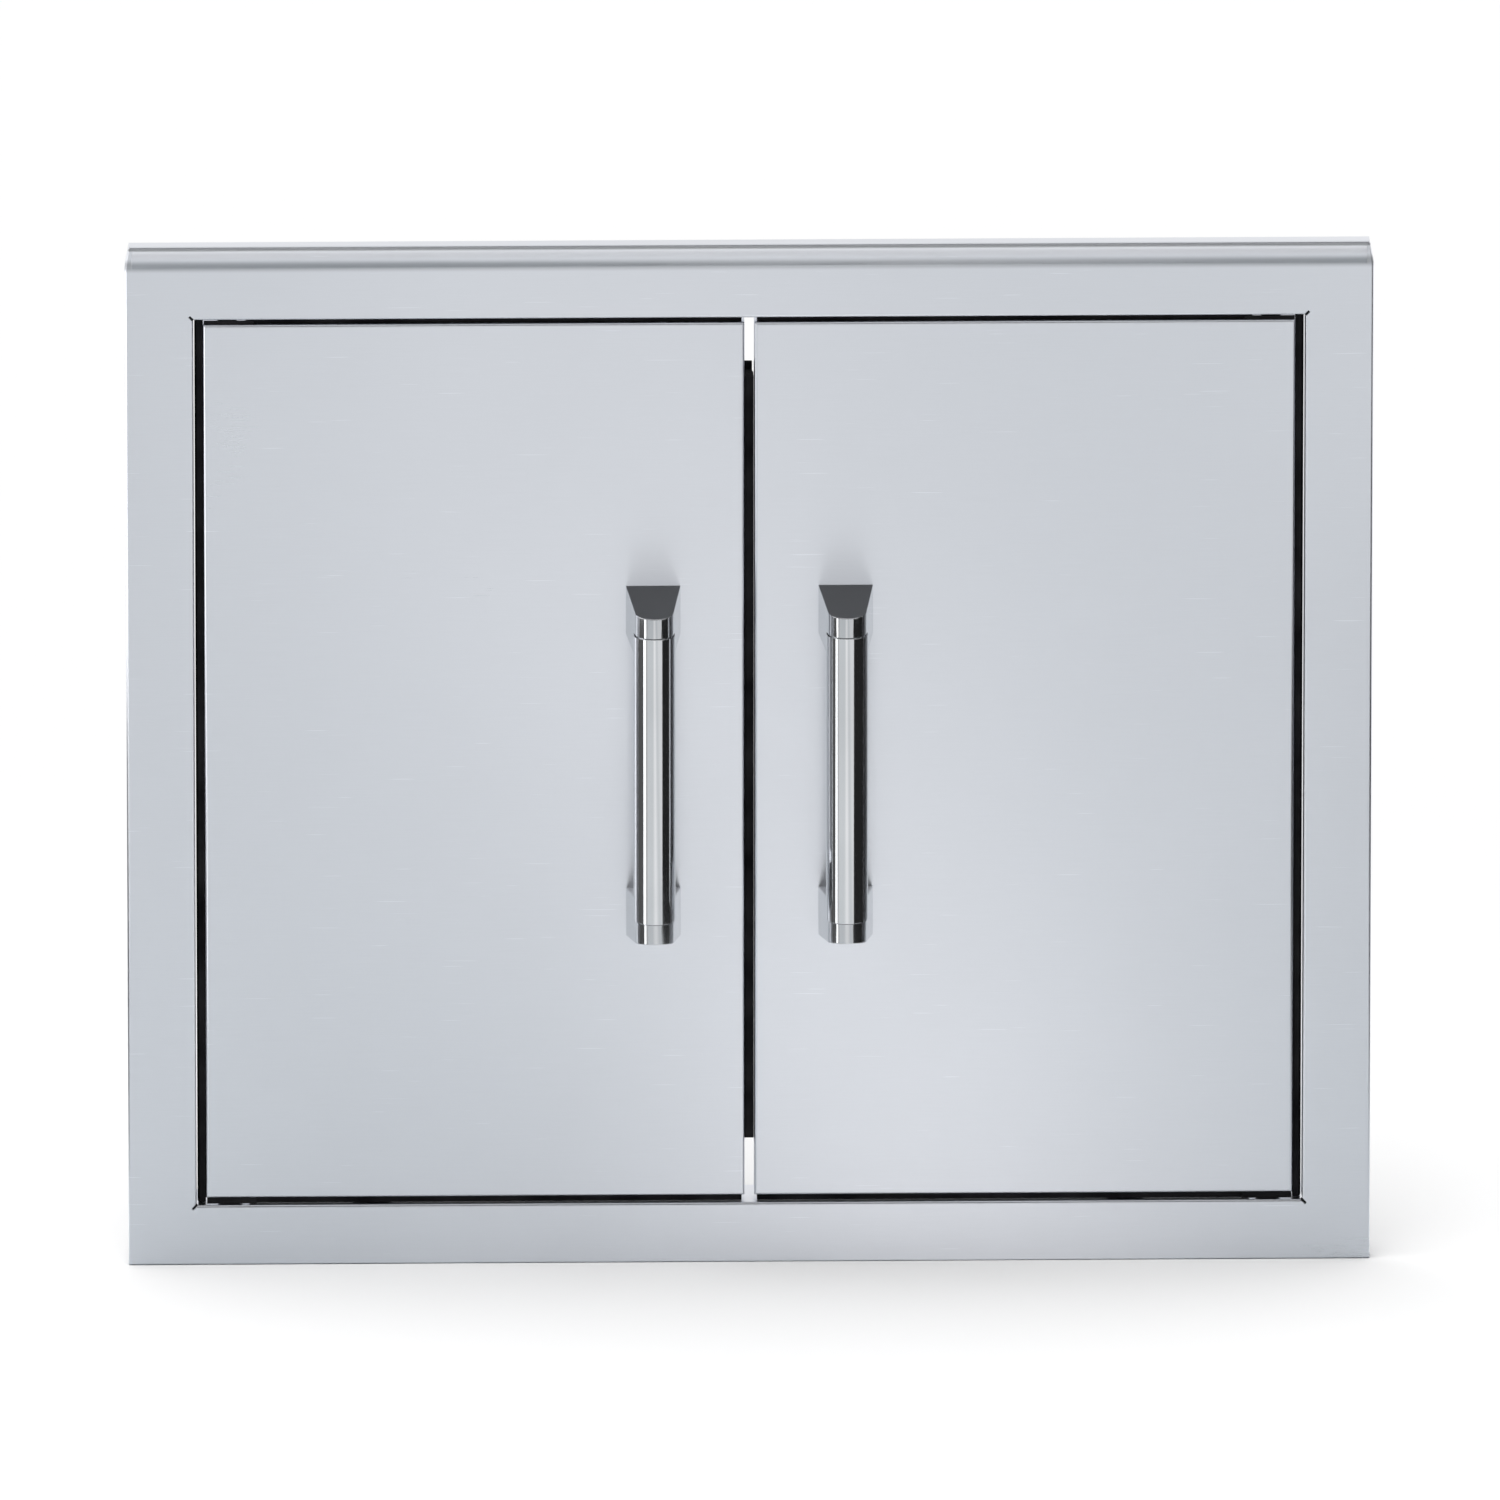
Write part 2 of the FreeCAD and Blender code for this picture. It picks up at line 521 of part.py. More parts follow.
def make_door_skin(side, sign):
    """Folded pan: face, four returns and back lips."""
    body = new_body(f"{side}_door_skin")

    def outline(name, at, free, hinge, ends):
        sketch = new_sketch(body, name, "XZ_Plane", at)
        x_free = f"{sign} * ({DOOR_FREE} + {free})"
        x_hinge = f"{sign} * ({DOOR_HINGE} - {hinge})"
        z_low = f"({DOOR_BOTTOM} + {ends})"
        add_loop(sketch, rectangle(x_free, x_hinge, z_low, f"({DOOR_TOP} - {ends})"))
        return sketch

    add_pad(body, outline("block", DOOR_BACK, "0", "0", "0"), "Sizes.door_depth")
    front, back = on_plane("Y", FRONT), on_plane("Y", DOOR_BACK)
    add_fillet(body, "folds", "Sizes.door_bend", lambda edge: front(edge) or back(edge))
    lip = "Sizes.door_lip"
    window = outline("window", DOOR_BACK, lip, "Sizes.hinge_lip", lip)
    add_pocket(body, window, "Sizes.door_sheet", reverse=True)
    skin = "Sizes.door_sheet"
    cavity = outline("cavity", LINER_BACK, skin, skin, skin)
    add_pocket(body, cavity, "Sizes.door_depth - 2 * Sizes.door_sheet", reverse=True)

    holes = new_sketch(body, "handle_holes", "XZ_Plane", FRONT)
    for shift in ("-1", "1"):
        z = f"({DOOR_MIDDLE} + {shift} * {POST_MIDDLE})"
        add_circle(holes, f"{sign} * {HANDLE_X}", z, "(Sizes.screw_diameter / 2 + Sizes.hole_gap)")
    add_pocket(body, holes, "Sizes.door_sheet")

    for level, at in (("upper", DOOR_TOP), ("lower", f"({DOOR_BOTTOM} + Sizes.door_sheet)")):
        hole = new_sketch(body, f"{level}_pin_hole", "XY_Plane", at)
        add_circle(hole, f"{sign} * {PIVOT_X}", PIVOT_Y, GUIDE_RADIUS)
        add_pocket(body, hole, "Sizes.door_sheet")


def make_door_liner(side, sign):
    """Inner panel welded behind the pan's lips, with a slot for the pin's tail."""
    body = new_body(f"{side}_door_liner")
    inset = "(Sizes.door_sheet + Sizes.fit_gap)"
    sketch = new_sketch(body, "panel", "XZ_Plane", LINER_BACK)
    x_free = f"{sign} * ({DOOR_FREE} + {inset})"
    x_hinge = f"{sign} * ({DOOR_HINGE} - {inset})"
    z_low = f"({DOOR_BOTTOM} + {inset})"
    add_loop(sketch, rectangle(x_free, x_hinge, z_low, f"({DOOR_TOP} - {inset})"))
    half = "(Sizes.tail_width / 2 + Sizes.slot_gap)"
    low = f"({DOOR_TOP} + {TAIL_BOTTOM} - Sizes.pin_travel - Sizes.slot_gap)"
    high = f"({DOOR_TOP} + {TAIL_TOP} + Sizes.slot_gap)"
    axis = f"{sign} * {PIVOT_X}"
    add_loop(sketch, rectangle(f"({axis} - {half})", f"({axis} + {half})", low, high))
    add_pad(body, sketch, "Sizes.liner_sheet")


def make_strike(side, sign):
    """Steel plate, welded to the door's back, that the magnet holds."""
    body = new_body(f"{side}_strike_plate")
    sketch = new_sketch(body, "blank", "XZ_Plane", "0")
    half, tall = "Sizes.strike_width / 2", "Sizes.strike_height / 2"
    add_loop(sketch, rectangle(f"-{half}", half, f"-{tall}", tall))
    add_pad(body, sketch, "Sizes.strike_thick", reverse=True)
    place(body, f"{sign} * Sizes.catch_offset", DOOR_BACK, STRIKE_Z)


def make_hinge_bracket(side, sign, level):
    """Angle welded inside the pan's hinge side: leg up the return, arm across the pin."""
    body = new_body(f"{side}_{level}_hinge_bracket")
    sketch = new_sketch(body, "angle", "XZ_Plane", PIVOT_Y)
    thick = "Sizes.bracket_thick"
    outer = f"({DOOR_HINGE} - Sizes.door_sheet)"
    if level == "upper":
        base = f"({DOOR_TOP} + {ARM_TOP} - {thick})"
        leg = f"(-{ARM_TOP} - Sizes.door_sheet - Sizes.fit_gap + {thick})"
    else:
        base = f"({DOOR_BOTTOM} + Sizes.door_sheet)"
        leg = "Sizes.bracket_leg"
    arm_end = f"{sign} * ({outer} - Sizes.bracket_arm)"
    inner = f"{sign} * ({outer} - {thick})"
    wall = f"{sign} * {outer}"
    arm_top = f"({base} + {thick})"
    leg_top = f"({base} + {leg})"
    points = [(wall, base), (arm_end, base), (arm_end, arm_top)]
    points += [(inner, arm_top), (inner, leg_top), (wall, leg_top)]
    add_loop(sketch, points)
    add_pad(body, sketch, "Sizes.bracket_width", symmetric=True)
    hole = new_sketch(body, "hole", "XY_Plane", arm_top)
    add_circle(hole, f"{sign} * {PIVOT_X}", PIVOT_Y, GUIDE_RADIUS)
    add_pocket(body, hole, thick)


def make_lower_pin(side, sign):
    """Headed pin fixed in the door's bottom, turning in the lower bush."""
    body = new_body(f"{side}_lower_hinge_pin")
    seat = "(Sizes.door_sheet + Sizes.bracket_thick)"
    drop = "(Sizes.bottom_gap + Sizes.frame_sheet + Sizes.plate_thick + Sizes.pin_overrun)"
    head = "Sizes.head_diameter / 2"
    top = f"({seat} + Sizes.head_thick)"
    profile = [("0", f"-{drop}"), (PIN_RADIUS, f"-{drop}"), (PIN_RADIUS, seat)]
    profile += [(head, seat), (head, top), ("0", top)]
    add_turning(body, "profile", profile)
    place(body, f"{sign} * {PIVOT_X}", PIVOT_Y, DOOR_BOTTOM)


def make_upper_pin(side, sign):
    """Sprung pin: a turned rod with a clip groove, and a flat finger tail at its foot."""
    body = new_body(f"{side}_upper_hinge_pin")
    rise = "(Sizes.top_gap + Sizes.frame_sheet + Sizes.plate_thick + Sizes.pin_overrun)"
    neck = f"({PIN_RADIUS} - Sizes.groove_depth)"
    profile = [("0", TAIL_TOP), (PIN_RADIUS, TAIL_TOP), (PIN_RADIUS, CLIP_BOTTOM)]
    profile += [(neck, CLIP_BOTTOM), (neck, CLIP_TOP), (PIN_RADIUS, CLIP_TOP)]
    profile += [(PIN_RADIUS, rise), ("0", rise)]
    add_turning(body, "rod", profile)
    tail = new_sketch(body, "tail", "XY_Plane", TAIL_TOP)
    half = "Sizes.tail_width / 2"
    add_loop(tail, rectangle(f"-{half}", half, f"-{half}", "Sizes.tail_reach"))
    add_pad(body, tail, "Sizes.tail_thick", reverse=True)
    place(body, f"{sign} * {PIVOT_X}", PIVOT_Y, DOOR_TOP)


def make_clip(side, sign):
    """Flat clip pushed into the pin's groove, open on one side."""
    body = new_body(f"{side}_hinge_clip")
    sketch = new_sketch(body, "blank", "XY_Plane", CLIP_BOTTOM)
    edge = "Sizes.clip_width / 2"
    add_loop(sketch, rectangle(f"-{edge}", edge, f"-{edge}", edge))
    add_circle(sketch, "0", "0", f"{PIN_RADIUS} - Sizes.groove_depth + Sizes.running_gap")
    add_pad(body, sketch, "Sizes.clip_thick")
    mouth = new_sketch(body, "mouth", "XY_Plane", CLIP_TOP)
    half = "Sizes.clip_mouth / 2"
    add_loop(mouth, rectangle(f"-{half}", half, "-Sizes.clip_width", "0"))
    add_pocket(body, mouth, "Sizes.clip_thick")
    place(body, f"{sign} * {PIVOT_X}", PIVOT_Y, DOOR_TOP)


def make_spring(side, sign):
    """Compression spring between the clip and the bracket's arm, in straight facets."""
    radius = number("Sizes.spring_mean / 2")
    wire = number("Sizes.spring_wire / 2")
    turns = int(number("Sizes.spring_turns"))
    seat = wire + number("Sizes.end_play")
    pitch = (number("Sizes.spring_space") - 2 * seat) / turns

    def spot(step):
        angle = 2 * math.pi * step / FACETS_PER_TURN
        height = seat + pitch * step / FACETS_PER_TURN
        return Vector(radius * math.cos(angle), radius * math.sin(angle), height)

    path = Part.makePolygon([spot(step) for step in range(turns * FACETS_PER_TURN + 1)])
    heading = (spot(1) - spot(0)).normalize()
    across = heading.cross(Vector(0, 0, 1)).normalize() * wire
    turn = Rotation(heading, 360 / WIRE_FACETS)
    corners = [spot(0) + across]
    for _ in range(WIRE_FACETS):
        across = turn.multVec(across)
        corners.append(spot(0) + across)
    print(f"{side} hinge spring: least gap between turns {pitch - 2 * wire:.2f} mm")
    spring = doc.addObject("Part::Feature", f"{side}_hinge_spring")
    spring.Label = f"{side}_hinge_spring"
    spring.Shape = path.makePipeShell([Part.makePolygon(corners)], True, False, MITRED)
    nodes.append(spring)
    place(spring, f"{sign} * {PIVOT_X}", PIVOT_Y, f"{DOOR_TOP} + {ARM_TOP}")


def make_handle_bar(side, sign):
    """Tube between the two posts."""
    body = new_body(f"{side}_handle_bar")
    length = "(Sizes.handle_length - 2 * Sizes.cap_height)"
    sketch = new_sketch(body, "tube", "XY_Plane", f"-{length} / 2")
    add_circle(sketch, "0", "0", "Sizes.bar_diameter / 2")
    add_circle(sketch, "0", "0", "Sizes.bar_diameter / 2 - Sizes.bar_wall")
    add_pad(body, sketch, length)
    place(body, f"{sign} * {HANDLE_X}", f"{FRONT} - {BAR_AXIS}", DOOR_MIDDLE)


def make_handle_post(side, sign, level):
    """Cast post: a wedge in plan that ends in the round cap of the bar.

    Drawn for the upper end, with the handle's middle at Z = 0 and the door's face at Y = 0.
    """
    body = new_body(f"{side}_{level}_handle_post")
    plan = new_sketch(body, "plan", "XY_Plane", "0")
    add_post_plan(plan)
    add_pad(body, plan, POST_HIGH)

    reach = "Sizes.bar_reach"
    foot_low = f"({POST_HIGH} - Sizes.post_foot)"
    front_high = "(Sizes.handle_length / 2)"
    front_low = f"({front_high} - Sizes.post_neck)"
    past = f"({reach} + Sizes.overcut)"
    behind = "(-Sizes.overcut)"

    def at(distance, near, far):
        """Height at a distance from the door on the line from near, at it, to far."""
        return f"({near} + ({far} - {near}) * ({distance}) / {reach})"

    def cut_slope(name, near, far, beyond):
        """Cuts the post on the side of beyond from a line through near and far."""
        sketch = new_sketch(body, name, "YZ_Plane", "0")
        points = [("Sizes.overcut", at(behind, near, far)), (f"-{past}", at(past, near, far))]
        points += [(f"-{past}", beyond), ("Sizes.overcut", beyond)]
        add_loop(sketch, points)
        add_pocket(body, sketch, "2 * Sizes.post_width", symmetric=True)

    cut_slope("crown", POST_HIGH, front_high, f"({POST_HIGH} + Sizes.overcut)")
    cut_slope("belly", foot_low, front_low, "-Sizes.overcut")

    axis_y = f"-{BAR_AXIS}"
    seam = f"({front_high} - Sizes.cap_height)"
    saddle = new_sketch(body, "saddle", "XY_Plane", seam)
    add_circle(saddle, "0", axis_y, "(Sizes.bar_diameter / 2 + Sizes.running_gap)")
    add_pocket(body, saddle, seam)

    add_fillet(body, "bevel", "Sizes.post_edge", post_edges(seam), "Chamfer")

    spigot = new_sketch(body, "spigot", "XY_Plane", seam)
    inside = "(Sizes.bar_diameter / 2 - Sizes.bar_wall - Sizes.running_gap)"
    corner = f"({inside} / sqrt(2))"
    low, high = f"({axis_y} - {corner})", f"({axis_y} + {corner})"
    add_loop(spigot, rectangle(f"-{corner}", corner, low, high))
    add_pad(body, spigot, "Sizes.spigot_length", reverse=True)
    bore = new_sketch(body, "bore", "XZ_Plane", "0")
    add_circle(bore, "0", POST_MIDDLE, "(Sizes.screw_diameter / 2 + Sizes.running_gap)")
    add_pocket(body, bore, "Sizes.screw_length + Sizes.bore_spare", reverse=True)
    rotation = Rotation(Vector(0, 1, 0), 180 if level == "lower" else 0)
    place(body, f"{sign} * {HANDLE_X}", FRONT, DOOR_MIDDLE, rotation)


def post_edges(seam):
    """A test for the outer and under edges of a post that a hand meets."""
    seam_z = number(seam)

    def test(edge):
        box = edge.BoundBox
        level = box.ZLength < 0.01
        slanted = box.YLength > 5 and box.ZLength > 0.2
        nose = box.YMin < -number("Sizes.bar_reach") + 0.5
        return box.ZMin > seam_z + 0.5 and not level and (slanted or nose) and box.YMax < 0.01

    return test


def add_post_plan(sketch):
    """Base on the door, sides that run tangent into the cap's circle."""
    half = number("Sizes.post_width / 2")
    axis = number(BAR_AXIS)
    radius = number("Sizes.cap_diameter / 2")
    distance = math.hypot(half, axis)
    lean = math.atan2(half, axis) + math.asin(radius / distance)
    along = math.sqrt(distance**2 - radius**2)
    towards = lean - 2 * math.asin(radius / distance)
    touch = Vector(half - along * math.sin(towards), -along * math.cos(towards), 0)
    mirrored = Vector(-touch.x, touch.y, 0)
    start = math.atan2(mirrored.y + axis, mirrored.x)
    end = math.atan2(touch.y + axis, touch.x)
    sketch.addGeometry(Part.LineSegment(Vector(-half, 0, 0), Vector(half, 0, 0)), False)
    sketch.addGeometry(Part.LineSegment(Vector(half, 0, 0), touch), False)
    circle = Part.Circle(Vector(0, -axis, 0), Vector(0, 0, 1), radius)
    sketch.addGeometry(Part.ArcOfCircle(circle, start, end + 2 * math.pi * (end < start)), False)
    sketch.addGeometry(Part.LineSegment(mirrored, Vector(-half, 0, 0)), False)
    sketch.addConstraint(Sketcher.Constraint("Coincident", 0, 2, 1, 1))
    sketch.addConstraint(Sketcher.Constraint("Coincident", 3, 2, 0, 1))
    sketch.addConstraint(Sketcher.Constraint("Tangent", 1, 2, 2, 2))
    sketch.addConstraint(Sketcher.Constraint("Tangent", 2, 1, 3, 1))
    bind_point(sketch, 0, 1, "-Sizes.post_width / 2", "0")
    bind_point(sketch, 0, 2, "Sizes.post_width / 2", "0")
    bind_point(sketch, 2, 3, "0", f"-{BAR_AXIS}")
    rule = sketch.addConstraint(Sketcher.Constraint("Radius", 2, radius))
    sketch.setExpression(f"Constraints[{rule}]", "Sizes.cap_diameter / 2")


def make_handle_screws(side, sign):
    """Flanged screws from inside the door into the posts."""
    spots = []
    for shift in ("-1", "1"):
        spots.append((f"{sign} * {HANDLE_X}", f"({DOOR_MIDDLE} + {shift} * {POST_MIDDLE})"))
    stud_group(
        f"{side}_handle_screws",
        "XZ_Plane",
        SKIN_INSIDE,
        spots,
        ("Sizes.screw_diameter", "Sizes.door_sheet + Sizes.screw_length"),
        ("Sizes.screw_head", "Sizes.screw_head_thick"),
        headward=False,
    )


def make_catch(side, sign):
    """Magnetic catch under the top of the sleeve: housing, magnet and pole plates."""
    where = (f"{sign} * Sizes.catch_offset", CATCH_FRONT, OPEN_TOP)
    magnet_z = f"({STRIKE_Z} - {OPEN_TOP})"
    housing = new_body(f"{side}_catch_housing")
    front = new_sketch(housing, "front", "XZ_Plane", "0")
    core, ear = "Sizes.catch_width / 2", "(Sizes.catch_width / 2 + Sizes.ear_width)"
    deep, thin = "-Sizes.catch_height", "-Sizes.ear_thick"
    points = [(f"-{core}", deep), (core, deep), (core, thin), (ear, thin), (ear, "0")]
    points += [(f"-{ear}", "0"), (f"-{ear}", thin), (f"-{core}", thin)]
    add_loop(front, points)
    add_pad(housing, front, "Sizes.catch_depth", reverse=True)
    slot = new_sketch(housing, "slot", "XZ_Plane", "0")
    half = "(Sizes.magnet_width / 2 + Sizes.running_gap)"
    stack = "(Sizes.magnet_thick / 2 + Sizes.pole_thick + Sizes.running_gap)"
    low, high = f"({magnet_z} - {stack})", f"({magnet_z} + {stack})"
    add_loop(slot, rectangle(f"-{half}", half, low, high))
    add_pocket(housing, slot, "Sizes.magnet_depth + Sizes.running_gap")
    holes = new_sketch(housing, "holes", "XY_Plane", "0")
    for shift in ("-1", "1"):
        x = f"{shift} * (Sizes.catch_width + Sizes.ear_width) / 2"
        add_circle(holes, x, "Sizes.catch_depth / 2", CATCH_SCREW_HOLE)
    add_pocket(housing, holes, "Sizes.ear_thick")
    place(housing, *where)

    magnet = new_body(f"{side}_catch_magnet")
    block = new_sketch(magnet, "block", "XZ_Plane", "0")
    half, tall = "Sizes.magnet_width / 2", "Sizes.magnet_thick / 2"
    add_loop(block, rectangle(f"-{half}", half, f"({magnet_z} - {tall})", f"({magnet_z} + {tall})"))
    add_pad(magnet, block, "Sizes.magnet_depth", reverse=True)
    place(magnet, *where)

    poles = new_body(f"{side}_catch_pole_plates")
    poles.AllowCompound = True
    strips = new_sketch(poles, "strips", "XZ_Plane", "-Sizes.pole_proud")
    for shift in ("-1", "1"):
        near = f"({magnet_z} + {shift} * {tall})"
        far = f"({magnet_z} + {shift} * ({tall} + Sizes.pole_thick))"
        add_loop(strips, rectangle(f"-{half}", half, near, far))
    add_pad(poles, strips, "Sizes.magnet_depth + Sizes.pole_proud", reverse=True)
    place(poles, *where)


def catch_screw_spots():
    spots = []
    for sign in ("-1", "1"):
        for shift in ("-1", "1"):
            ear = f"{shift} * (Sizes.catch_width + Sizes.ear_width) / 2"
            x = f"({sign} * Sizes.catch_offset + {ear})"
            spots.append((x, f"({CATCH_FRONT} + Sizes.catch_depth / 2)"))
    return spots


def make_catch_screws():
    stud_group(
        "catch_screws",
        "XY_Plane",
        f"({OPEN_TOP} - Sizes.ear_thick)",
        catch_screw_spots(),
        ("Sizes.catch_screw", "Sizes.ear_thick + Sizes.frame_sheet + Sizes.catch_screw_tip"),
        ("Sizes.catch_screw_head", "Sizes.catch_screw_head_thick"),
        headward=False,
    )


def make_stop(side, sign):
    """Folded bracket, welded to the sleeve's floor, with a rubber pad for the door's back."""
    body = new_body(f"{side}_stop_bracket")
    angle = new_sketch(body, "angle", "YZ_Plane", "0")
    thick, tall = "Sizes.stop_thick", "Sizes.stop_height"
    foot = f"({thick} + Sizes.stop_foot)"
    points = [("0", "0"), (foot, "0"), (foot, thick), (thick, thick), (thick, tall), ("0", tall)]
    add_loop(angle, points)
    add_pad(body, angle, "Sizes.stop_width", symmetric=True)
    place(body, f"{sign} * Sizes.stop_offset", STOP_FACE, OPEN_BOTTOM)

    bumper = new_body(f"{side}_stop_bumper")
    pad = new_sketch(bumper, "pad", "XZ_Plane", "0")
    half = "Sizes.bumper_width / 2"
    add_loop(pad, rectangle(f"-{half}", half, f"({tall} - Sizes.bumper_height)", tall))
    add_pad(bumper, pad, "Sizes.bumper_thick")
    place(bumper, f"{sign} * Sizes.stop_offset", STOP_FACE, OPEN_BOTTOM)


def make_centre_seal():
    """Black seal on the left door: a flat base behind it and a nose in the gap.

    The nose stops short of the right door, so that either door opens alone.
    """
    body = new_body("centre_seal")
    left_edge = f"({DOOR_FREE} - Sizes.fit_gap)"
    root_edge = f"({DOOR_FREE} - Sizes.seal_root_gap)"
    nose_edge = f"({DOOR_FREE} - Sizes.seal_nose_gap)"
    base = new_sketch(body, "base", "XY_Plane", f"({DOOR_MIDDLE} - {SEAL_HALF})")
    low = f"-({DOOR_FREE} + Sizes.seal_base)"
    back = f"({DOOR_BACK} + Sizes.seal_base_thick)"
    add_loop(base, rectangle(low, root_edge, DOOR_BACK, back))
    add_pad(body, base, f"2 * {SEAL_HALF}")
    step = "Sizes.seal_end_step"
    nose = new_sketch(body, "nose", "XY_Plane", f"({DOOR_MIDDLE} - {SEAL_HALF} + {step})")
    near = f"({PIVOT_Y} - Sizes.seal_nose_depth / 2)"
    far = f"({PIVOT_Y} + Sizes.seal_nose_depth / 2)"
    points = [(f"-{left_edge}", near), (nose_edge, near), (nose_edge, far), (root_edge, far)]
    points += [(root_edge, DOOR_BACK), (f"-{left_edge}", DOOR_BACK)]
    add_loop(nose, points)
    add_pad(body, nose, f"2 * ({SEAL_HALF} - {step})")


def make_edge_seals(side, sign):
    """Black seals glued to a door's outer edges, which close the gaps to the sleeve."""
    near = f"({FRONT} + Sizes.edge_seal_setback)"
    far = f"({near} + Sizes.edge_seal_width)"
    for level, seat, gap in (
        ("top", DOOR_TOP, "Sizes.top_gap"),
        ("bottom", DOOR_BOTTOM, "Sizes.bottom_gap"),
    ):
        body = new_body(f"{side}_{level}_edge_seal")
        strip = new_sketch(body, "strip", "XY_Plane", seat)
        x_free = f"{sign} * ({DOOR_FREE} + Sizes.edge_seal_end)"
        x_pivot = f"{sign} * ({PIVOT_X} - Sizes.edge_seal_pivot)"
        add_loop(strip, rectangle(x_free, x_pivot, near, far))
        add_pad(body, strip, f"({gap} - Sizes.edge_seal_clear)", reverse=level == "bottom")

    body = new_body(f"{side}_hinge_edge_seal")
    section = new_sketch(body, "section", "XY_Plane", f"({DOOR_BOTTOM} + Sizes.edge_seal_end)")
    tip = f"({OPEN_HALF} - Sizes.edge_seal_clear)"
    root, shoulder = f"{sign} * {DOOR_HINGE}", f"{sign} * ({tip} - Sizes.hinge_seal_taper)"
    tip = f"{sign} * {tip}"
    wide, flat = "Sizes.hinge_seal_width / 2", "Sizes.hinge_seal_flat / 2"
    points = [(root, f"({PIVOT_Y} - {wide})"), (shoulder, f"({PIVOT_Y} - {wide})")]
    points += [(tip, f"({PIVOT_Y} - {flat})"), (tip, f"({PIVOT_Y} + {flat})")]
    points += [(shoulder, f"({PIVOT_Y} + {wide})"), (root, f"({PIVOT_Y} + {wide})")]
    add_loop(section, points)
    add_pad(body, section, f"({DOOR_TOP} - {DOOR_BOTTOM} - 2 * Sizes.edge_seal_end)")


def check_document():
    """Every object is up to date and every sub-part is a valid shape."""
    for item in doc.Objects:
        if {"Invalid", "Error"} & set(item.State):
            raise ValueError(f"{item.Label} failed: {item.State}")
    for node in nodes:
        if node.Shape.isNull() or not node.Shape.isValid():
            raise ValueError(f"{node.Label} has no valid shape")
        if not node.Shape.Solids:
            raise ValueError(f"{node.Label} holds no solid")


def write_parts():
    os.makedirs("parts", exist_ok=True)
    for node in nodes:
        node.Shape.exportStep(os.path.join("parts", f"{node.Label}.step"))
    print(f"{len(nodes)} nodes, {sum(len(n.Shape.Solids) for n in nodes)} solids")


make_face_frame()
for level in ("upper", "lower"):
    make_pivot_plates(level)
    make_pivot_bushes(level)
make_catch_screws()
for side, sign in (LEFT, RIGHT):
    for level in ("upper", "lower"):
        make_hinge_bracket(side, sign, level)
        make_handle_post(side, sign, level)
    make_catch(side, sign)
    make_stop(side, sign)
    make_door_skin(side, sign)
    make_door_liner(side, sign)
    make_strike(side, sign)
    make_lower_pin(side, sign)
    make_upper_pin(side, sign)
    make_clip(side, sign)
    make_spring(side, sign)
    make_handle_bar(side, sign)
    make_handle_screws(side, sign)
    make_edge_seals(side, sign)
make_centre_seal()
doc.recompute()
check_document()
write_parts()
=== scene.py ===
# %% [markdown]
# # An access door for an outdoor kitchen island
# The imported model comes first. It is the door's own construction, in metres: a folded
# face frame, two folded pans, their handles, hinges, catches and seals. Everything below
# dresses that model or stands in for one of its pieces, so nothing is fitted by eye.

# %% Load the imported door
import json
import math

import bmesh
import bpy
from mathutils import Matrix, Vector

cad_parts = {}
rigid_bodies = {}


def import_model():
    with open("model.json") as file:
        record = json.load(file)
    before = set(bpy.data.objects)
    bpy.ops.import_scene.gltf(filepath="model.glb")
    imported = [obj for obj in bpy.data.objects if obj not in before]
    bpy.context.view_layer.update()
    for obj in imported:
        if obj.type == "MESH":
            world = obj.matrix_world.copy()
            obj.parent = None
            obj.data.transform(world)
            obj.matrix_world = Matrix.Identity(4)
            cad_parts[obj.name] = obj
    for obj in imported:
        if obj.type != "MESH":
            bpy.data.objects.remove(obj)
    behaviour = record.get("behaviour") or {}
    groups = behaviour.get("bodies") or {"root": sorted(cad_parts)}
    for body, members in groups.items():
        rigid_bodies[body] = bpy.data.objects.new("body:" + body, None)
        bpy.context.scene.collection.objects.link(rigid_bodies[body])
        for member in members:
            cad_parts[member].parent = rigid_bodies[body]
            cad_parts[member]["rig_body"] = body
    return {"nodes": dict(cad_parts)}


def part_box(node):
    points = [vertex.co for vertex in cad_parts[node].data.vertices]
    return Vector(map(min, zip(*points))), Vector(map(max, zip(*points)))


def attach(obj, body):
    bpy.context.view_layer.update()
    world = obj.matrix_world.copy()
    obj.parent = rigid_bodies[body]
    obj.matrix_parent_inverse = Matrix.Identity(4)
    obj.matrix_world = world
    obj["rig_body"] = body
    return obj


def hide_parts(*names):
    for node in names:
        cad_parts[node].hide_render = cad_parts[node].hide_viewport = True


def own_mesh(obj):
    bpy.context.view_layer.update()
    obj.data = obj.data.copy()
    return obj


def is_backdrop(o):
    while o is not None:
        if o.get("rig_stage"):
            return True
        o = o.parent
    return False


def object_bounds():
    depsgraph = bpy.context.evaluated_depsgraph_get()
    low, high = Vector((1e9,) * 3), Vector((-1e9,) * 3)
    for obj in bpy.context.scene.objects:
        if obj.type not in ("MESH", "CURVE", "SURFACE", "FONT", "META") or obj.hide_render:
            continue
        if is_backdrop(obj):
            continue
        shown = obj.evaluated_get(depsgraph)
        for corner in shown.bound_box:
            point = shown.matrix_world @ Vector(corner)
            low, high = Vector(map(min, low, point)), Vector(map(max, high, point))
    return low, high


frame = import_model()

cad_low, cad_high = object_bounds()
print("door over all, mm:", [round((b - a) * 1000, 1) for a, b in zip(cad_low, cad_high)])

# %% [markdown]
# Steel is hard to judge under a film-like view, which bends its greys. The Standard view
# leaves a colour as it is written.

# %% Plain view
bpy.context.scene.view_settings.view_transform = "Standard"
print("view:", bpy.context.scene.view_settings.view_transform)

